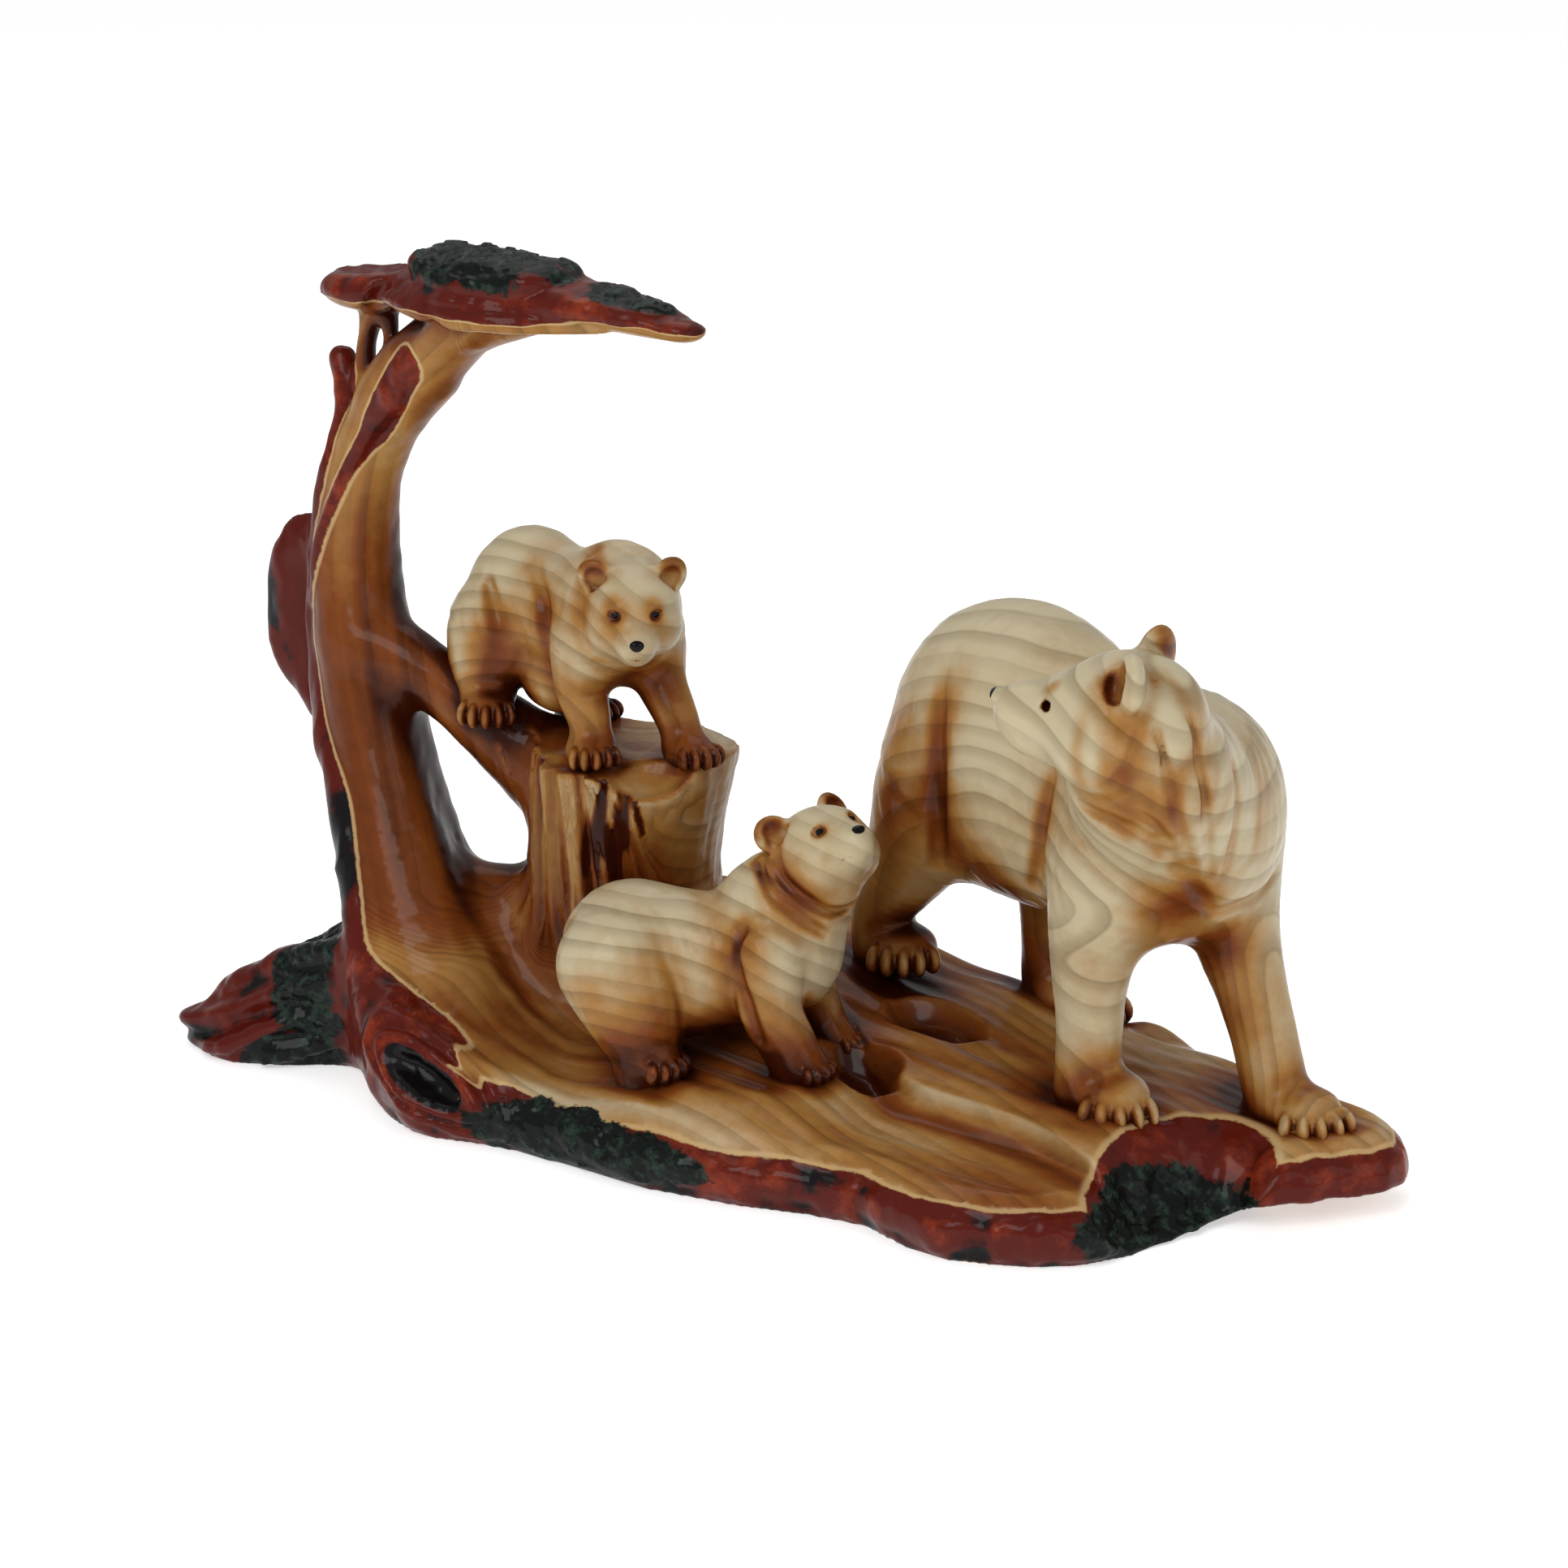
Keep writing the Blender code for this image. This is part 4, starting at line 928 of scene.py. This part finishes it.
def makeBear(look):
    # the clay's skin moved along its normals by shallow facets and by hair strokes that run down and back
    clay = freshClay(*look["box"], look["grid"])
    sculptBear(clay, look)
    points, faces = clay.skin()
    n = clay.facing(points)
    q = bearLocal(look, points)
    strokes = noise(np.column_stack([q[:, 0] + q[:, 2] * 0.35, q[:, 1], q[:, 2] * 0.22]), 1.7, 3)
    headCentre, _, headSize = headFrame(look)
    fromHead = np.linalg.norm(points - headCentre, axis=1) / headSize
    facets = noise(points, 6.0, 9)
    amount = 0.12 * strokes * ease((fromHead - 1.15) / 0.5) + 0.16 * facets * ease((fromHead - 1.1) / 0.5)
    points = points + n * amount[:, None]
    points, faces = thinned(points, faces, look["most"])
    n = clay.facing(points)
    q = bearLocal(look, points)
    # the airbrushed stain, with painted shade added where sheltered, which also stands for brown airbrushed
    # into hollows
    stainAndShade = bearStain(look, points, q) + (1 - openness(points, n)) * shelter["shade"]
    # painted shade in creases
    layers = {"grain": bearGrain(look, q), "stainAndShade": stainAndShade, "creaseShade": creaseShadeAt(clay, points, n),
              "paint": np.clip(spotDepth(look, points), -3, 3)}
    pieceFrom(look["name"], points, faces, layers, woodFinish(look["name"] + "_finish", look["ringGap"]))


def bearStain(look, points, q):
    # airbrushed brown: soft round patches, the same on both flanks, with ears, eye rims and paws
    centre, turn, size = headFrame(look)
    h = (points - centre) @ turn / size
    fromHead = np.linalg.norm(h, axis=1)
    mirrored = np.column_stack([q[:, 0], -np.abs(q[:, 1]), q[:, 2]])
    total = 0.05 * layered(q, 12, 2, 77)
    for place, radius, amount in look["blush"]:
        own = q if look is mother and place[0] > 28 else mirrored
        flank = place if own is q else (place[0], -abs(place[1]), place[2])
        away = (((own - flank) / (np.array(radius) * look["spread"])) ** 2).sum(1)
        total = total + amount * look["strength"] * np.exp(-away)
    outwards = np.abs(h[:, 1])
    ears = ease((h[:, 2] - 0.62) / 0.3) * ease((outwards - 0.45) / 0.25) * (fromHead < 1.9)
    eyeUp = look["head"]["eye"][2] - 0.04
    eyes = np.exp(-((h[:, 0] - 0.82) ** 2 + (outwards - 0.40) ** 2 + (h[:, 2] - eyeUp) ** 2) / 0.03)
    if look is mother:
        ears = ears * (h[:, 1] < 0)     # the near ear stays pale
        brow = np.exp(-((h[:, 0] - 0.92) ** 2 + (outwards - 0.33) ** 2 + (h[:, 2] - 0.42) ** 2) / 0.05)
        streak = noise(np.column_stack([q[:, 0], q[:, 1], q[:, 2] * 0.25]), 3.0, 91)
        neck = ease((q[:, 0] - 33) / 8) * ease((q[:, 2] - 56) / 12)
        face = ease((h[:, 0] - 0.35) / 0.4) * (fromHead < 2.4) * ease((50 - q[:, 0]) / 10)
        total = total + 0.5 * ears + 0.38 * (eyes + 0.7 * brow) + neck * 0.22 * streak
        return total + 0.15 * ease((60 - q[:, 2]) / 20) - 0.35 * face
    stripe = noise(np.column_stack([q[:, 0] + 0.2 * q[:, 2], q[:, 1], q[:, 2] * 0.18]), 7.0, 93)
    feet = ease((15 - (q[:, 2] - look["ground"])) / 13)
    return total + 0.5 * ears + 0.38 * eyes + look["feet"] * feet + 0.2 * stripe * (fromHead > 1.5)


print("bears")
makeBear(mother)
makeBear(lowCub)
makeBear(highCub)


# base and tree in one piece

timber = {
    "grid": 0.68, "box": ((-134, -58, -1.3), (122, 62, 170)), "most": 196000,
    "ringGap": 3.2, "ringStrength": 0.5,
    "moss": [((-60, -14, 163.5), (20, 15, 6.2)), ((-26, -14, 160.5), (11, 6, 3.4)), ((-14, -47, 6), (30, 8, 7)),
             ((90, -8, 5), (17, 20, 9)), ((-94, -33, 17), (9, 10, 17)), ((-100, -36, 3), (16, 9, 6))],
    "mossGain": 4.0, "foldDeep": 0.75, "mossDeep": 1.3, "gougeDeep": 0.14, "lipDeep": 0.75, "rootDeep": 0.9,
}


def foldsAt(p):
    # bark: 1 on the ridges, falling into long cracks
    return 1 - np.abs(layered(p * (0.8, 0.8, 0.4), 7.0, 3, 11)) * 2.4


def knotAway(p):
    # scaled distance from the knot hole: 1 on its lip
    return np.linalg.norm((p - base["knot"]) @ spin(*base["knotTurn"]) / base["knotLip"], axis=1)


def barkDepth(p, n, edge, above):
    # how far into the bark, in mm: the greatest of the ribbons nearer than the wood, the flange,
    # the crown's top, the root and the rim
    x, y, z = p.T
    wood = np.min([pathDistance(p, a, r) for a, r, _ in tree["wood"]], axis=0)
    bark = np.min([pathDistance(p, a, r) for a, r, _ in tree["bark"]], axis=0)
    flange = 6.0 * (1 - np.linalg.norm((p - (-115, -10.5, 87)) / (14, 8, 25), axis=1))
    root = np.minimum(-86 - x - 0.5 * (z - 20), 30 - z)
    rim = edge + 1.4 + 0.5 * noise(p, 11, 3)
    bank = bankShare(x, y) * 8 - 0.8
    underside = 154.6 + 1.2 * ease((x + 46) / 20) - 1.6 * ease((-82 - x) / 5)
    crown = (z - underside + np.minimum(n[:, 2], 0) * 1.5 + 0.9 * noise(p, 5, 4)) * 1.5
    crown = np.where(z > 148, crown, -6)
    ribbon = np.minimum(wood - bark - 0.3, 2.2 - bark)
    depth = np.where(z < 149, np.maximum(ribbon, flange), crown)
    low = np.maximum(root, np.maximum(rim, bank) + np.minimum(4 - above, 0))
    return np.where(z < 32, np.maximum(depth, low), depth)


def timberChar(p):
    # soot on the back of the trunk and the flange; dark in the knot hole, along the low edges and in the cracks
    x, _, z = p.T
    char = 0.95 * np.exp(-(((x + 92) / 10) ** 2 + ((z - 38) / 28) ** 2))
    char = np.maximum(char, 0.5 * np.exp(-((x + 120) / 8) ** 2 - ((z - 88) / 12) ** 2))
    char = np.maximum(char, 1.2 * ease((1.25 - knotAway(p)) / 0.3))
    return char + ease((4.5 - z) / 4) * 0.3 + 0.42 * ease((0.62 - foldsAt(p)) / 0.5) + 0.12 * noise(p, 13, 83)


def timberLayers(clay, p, n):
    # grain: along y on the ground, along the strand on the trunk, upright round the stump
    # stain and shade: the stains added up, with painted shade added where sheltered
    x, y, z = p.T
    edge, above = edgeDistance(x, y), z - groundHeight(x, y)
    along = acrossPath(p, *tree["wood"][0][:2])
    flat = y * 0.85 + 0.16 * x - 3.0 * np.sin(x * 0.045) + above * 0.5
    stumpAngle = np.arctan2(y - 6, x + 45) * 19
    treeShare = ease((above - 4) / 14) * ease((-56 - x) / 10)
    stumpShare = ease((above - 3) / 8) * ease((23.5 - np.hypot(x + 45, y - 6)) / 3)
    bands = z * 0.8 + x * 0.9      # sloping lines on the stump's right face
    side = stumpAngle + (bands - stumpAngle) * ease((x + 34) / 5)
    stumpGrain = np.where(n[:, 2] > 0.6, np.hypot(x + 42, y - 5), side)
    grain = flat * (1 - treeShare) + along * treeShare
    grain = grain * (1 - stumpShare) + stumpGrain * stumpShare
    grain = grain + 2.0 * layered(p * (0.5, 1, 0.6), 34, 2, 51)

    scoops = [np.exp(-(((x - cx) / rx) ** 2 + ((y - cy) / ry) ** 2)) for cx, cy, rx, ry in base["hollows"]]
    onGround = (1 - treeShare) * (1 - stumpShare)
    strip = layered(np.column_stack([along, 0 * along, z * 0.06]), 3.2, 2, 71)
    stumpStrip = layered(np.column_stack([stumpGrain, 0 * along, z * 0.06]), 4, 2, 73)
    sliver = 0.9 - np.linalg.norm((p - (-34, -13.5, 53)) / (7, 6, 11), axis=1)     # splinters under the chip
    sliver = sliver + 0.9 * noise(p * (2.5, 1, 0.2), 3, 8)
    # brown stain in the hollows near the ground, partly painted shade
    stain = 0.26 + 0.8 * np.max(scoops, axis=0) * ease((6 - above) / 4)
    stain = stain + 0.3 * layered(p * (0.16, 1, 1), 10, 3, 61) * onGround
    stain = stain + treeShare * (0.32 * strip + 0.1 + 0.5 * ease((132 - z) / 34))
    stain = stain + stumpShare * (0.25 * stumpStrip + 0.3 * ease((64 - z) / 30))
    stain = stain + 0.95 * ease(sliver / 0.3) * (n[:, 2] < 0.6)
    # the terrace: painted shade at the foot of its edge, a painted highlight along it, and browner in front of
    # it to the right
    ridge, nearGround = ledgeAway(x, y), ease((4 - above) / 2)
    step = 0.45 * np.exp(-((ridge + 3.0) / 2.6) ** 2) - 0.3 * np.exp(-(ridge - 0.6) ** 2)
    step = step + 0.06 * ease((ridge - 1) / 3)
    stain = stain + ease((x - 8) / 20) * nearGround * ease((-2 - edge) / 3) * step
    stain = stain + 0.25 * ease((x - 40) / 30) * ease((-ridge - 1) / 4) * nearGround
    stain = stain + 0.22 * ease((-28 - x) / 16) * ease((40 - z) / 10) + 0.14 * ease((z - 118) / 15)
    stain = stain + 0.06 * ease((y + 16) / 14) * ease((x + 10) / 20) * nearGround

    patches = [1 - np.linalg.norm((p - centre) / radii, axis=1) for centre, radii in timber["moss"]]
    moss = np.max(patches, axis=0) * timber["mossGain"]
    bark = barkDepth(p, n, edge, above)
    # painted shade where sheltered, added to the stains
    return {"grain": grain, "stainAndShade": stain + (1 - openness(p, n)) * shelter["shade"], "char": timberChar(p),
            "creaseShade": creaseShadeAt(clay, p, n), "bark": np.clip(bark, -6, 6), "moss": np.clip(moss, -6, 6)}


def makeTimber():
    # the clay's skin moved along its normals: folds in bark, crumpled flakes of moss, shallow gouges in wood
    clay = freshClay(*timber["box"], timber["grid"])
    sculptBase(clay)
    sculptTree(clay)
    clay.stand()
    print("timber block", clay.d.shape)
    points, faces = clay.skin()
    n = clay.facing(points)
    rough = timberLayers(clay, points, n)
    bark = ease(rough["bark"] / 1.2)
    moss = ease(rough["moss"] / 1.5 + 0.2)
    crumble = np.round(layered(points, 4.2, 3, 29) * 3) / 3
    gouges = noise(np.column_stack([points[:, 0] * 0.2, points[:, 1], points[:, 2]]), 2.6, 41)
    amount = bark * (1 - moss) * (foldsAt(points) - 0.3) * timber["foldDeep"]
    amount = amount + moss * (crumble * timber["mossDeep"] + 0.3)
    amount = amount + (1 - bark) * (1 - moss) * gouges * timber["gougeDeep"]
    # lips round the knot hole and long folds down the root
    knot = knotAway(points)
    amount = amount + timber["lipDeep"] * np.cos((knot - 1.35) * 7.5) * np.exp(-((knot - 1.6) / 0.6) ** 2)
    rootShare = ease((-84 - points[:, 0]) / 8) * ease((36 - points[:, 2]) / 8)
    rootFolds = np.sin(acrossPath(points, *tree["root"][0][:2]) + 1.5 * noise(points, 14, 6))
    amount = amount + timber["rootDeep"] * rootShare * rootFolds
    keep = ease((points[:, 2] - 0.5) / 1.5)     # the underside stays flat
    points = points + n * (amount * keep)[:, None]
    points, faces = thinned(points, faces, timber["most"])
    layers = timberLayers(clay, points, clay.facing(points))
    look = woodFinish("timber_finish", timber["ringGap"], timber["ringStrength"], mixed=True)
    pieceFrom("timber_base_and_tree", points, faces, layers, look)


print("timber")
makeTimber()


# stage, light and camera

stage = {
    "floor": 6.0, "floorColour": (0.9, 0.9, 0.9, 1.0), "floorRough": 0.6, "glow": 0.5, "sky": 0.5,
    "lights": {"key": ((0.15, -0.95, 0.85), 6.4, 0.7), "fill": ((1.1, -0.1, 0.55), 2.0, 0.8),
               "top": ((-0.35, 0.35, 1.1), 3.2, 0.9)},      # place and width in metres, power in watts between
    "lightsAimAt": (0, 0, 0.06),
}
view = {
    "azimuth": 38.0, "rise": 17.0,      # in degrees
    "distance": 820.0, "target": (-2.0, 0.0, 68.0),     # in mm, in the drawing's axes
    "scale": 5330.0, "image": 1932,     # the lens's length and the photo's width, both in pixels
    "sensor": 36.0, "farEnd": 20.0,
}


def makeFloor():
    # one pale square that glows a little, so that it stays white to the edge of the picture
    half = stage["floor"] / 2
    points = np.array([(-half, -half, 0), (half, -half, 0), (half, half, 0), (-half, half, 0)])
    item = placed("floor", meshFrom("floor", points, np.array([[0, 1, 2, 3]])))
    bench = Bench("floor_finish")
    bench.shader.inputs["Base Color"].default_value = stage["floorColour"]
    bench.shader.inputs["Roughness"].default_value = stage["floorRough"]
    bench.shader.inputs["Emission Color"].default_value = (1.0, 1.0, 1.0, 1.0)
    bench.shader.inputs["Emission Strength"].default_value = stage["glow"]
    item.data.materials.append(bench.material)


def lookFrom(item, place, target):
    # local -Z towards the target, Y up
    back = np.array(place, float) - np.array(target, float)
    back /= np.linalg.norm(back)
    right = np.cross((0, 0, 1), back)
    right /= np.linalg.norm(right)
    up = np.cross(back, right)
    rows = np.column_stack([right, up, back, place])
    item.matrix_world = Matrix([list(map(float, row)) for row in rows] + [[0, 0, 0, 1]])


def makeLight(name, place, power, size):
    # a square lamp turned towards the statue
    lamp = bpy.data.lights.new(name, "AREA")
    lamp.energy, lamp.size = power, size
    lookFrom(placed(name, lamp), place, stage["lightsAimAt"])


def makeCamera():
    # on a ray back from the target at the photo's azimuth and rise; lens = sensor times scale over image
    a, e = math.radians(view["azimuth"]), math.radians(view["rise"])
    back = np.array([math.sin(a) * math.cos(e), -math.cos(a) * math.cos(e), math.sin(e)])
    target = (np.array(view["target"]) + drawnToFrame) * mm
    lens = bpy.data.cameras.new("camera")
    lens.sensor_width = view["sensor"]
    lens.lens = view["sensor"] * view["scale"] / view["image"]
    lens.clip_end = view["farEnd"]
    item = placed("camera", lens)
    lookFrom(item, target + back * view["distance"] * mm, target)
    bpy.context.scene.camera = item


print("stage")
makeFloor()
for name, (place, power, size) in stage["lights"].items():
    makeLight(name, place, power, size)
world = bpy.data.worlds.new("studio")
world.use_nodes = True
world.node_tree.nodes["Background"].inputs["Color"].default_value = (1, 1, 1, 1)
world.node_tree.nodes["Background"].inputs["Strength"].default_value = stage["sky"]
bpy.context.scene.world = world
bpy.context.scene.view_settings.view_transform = "Standard"
makeCamera()
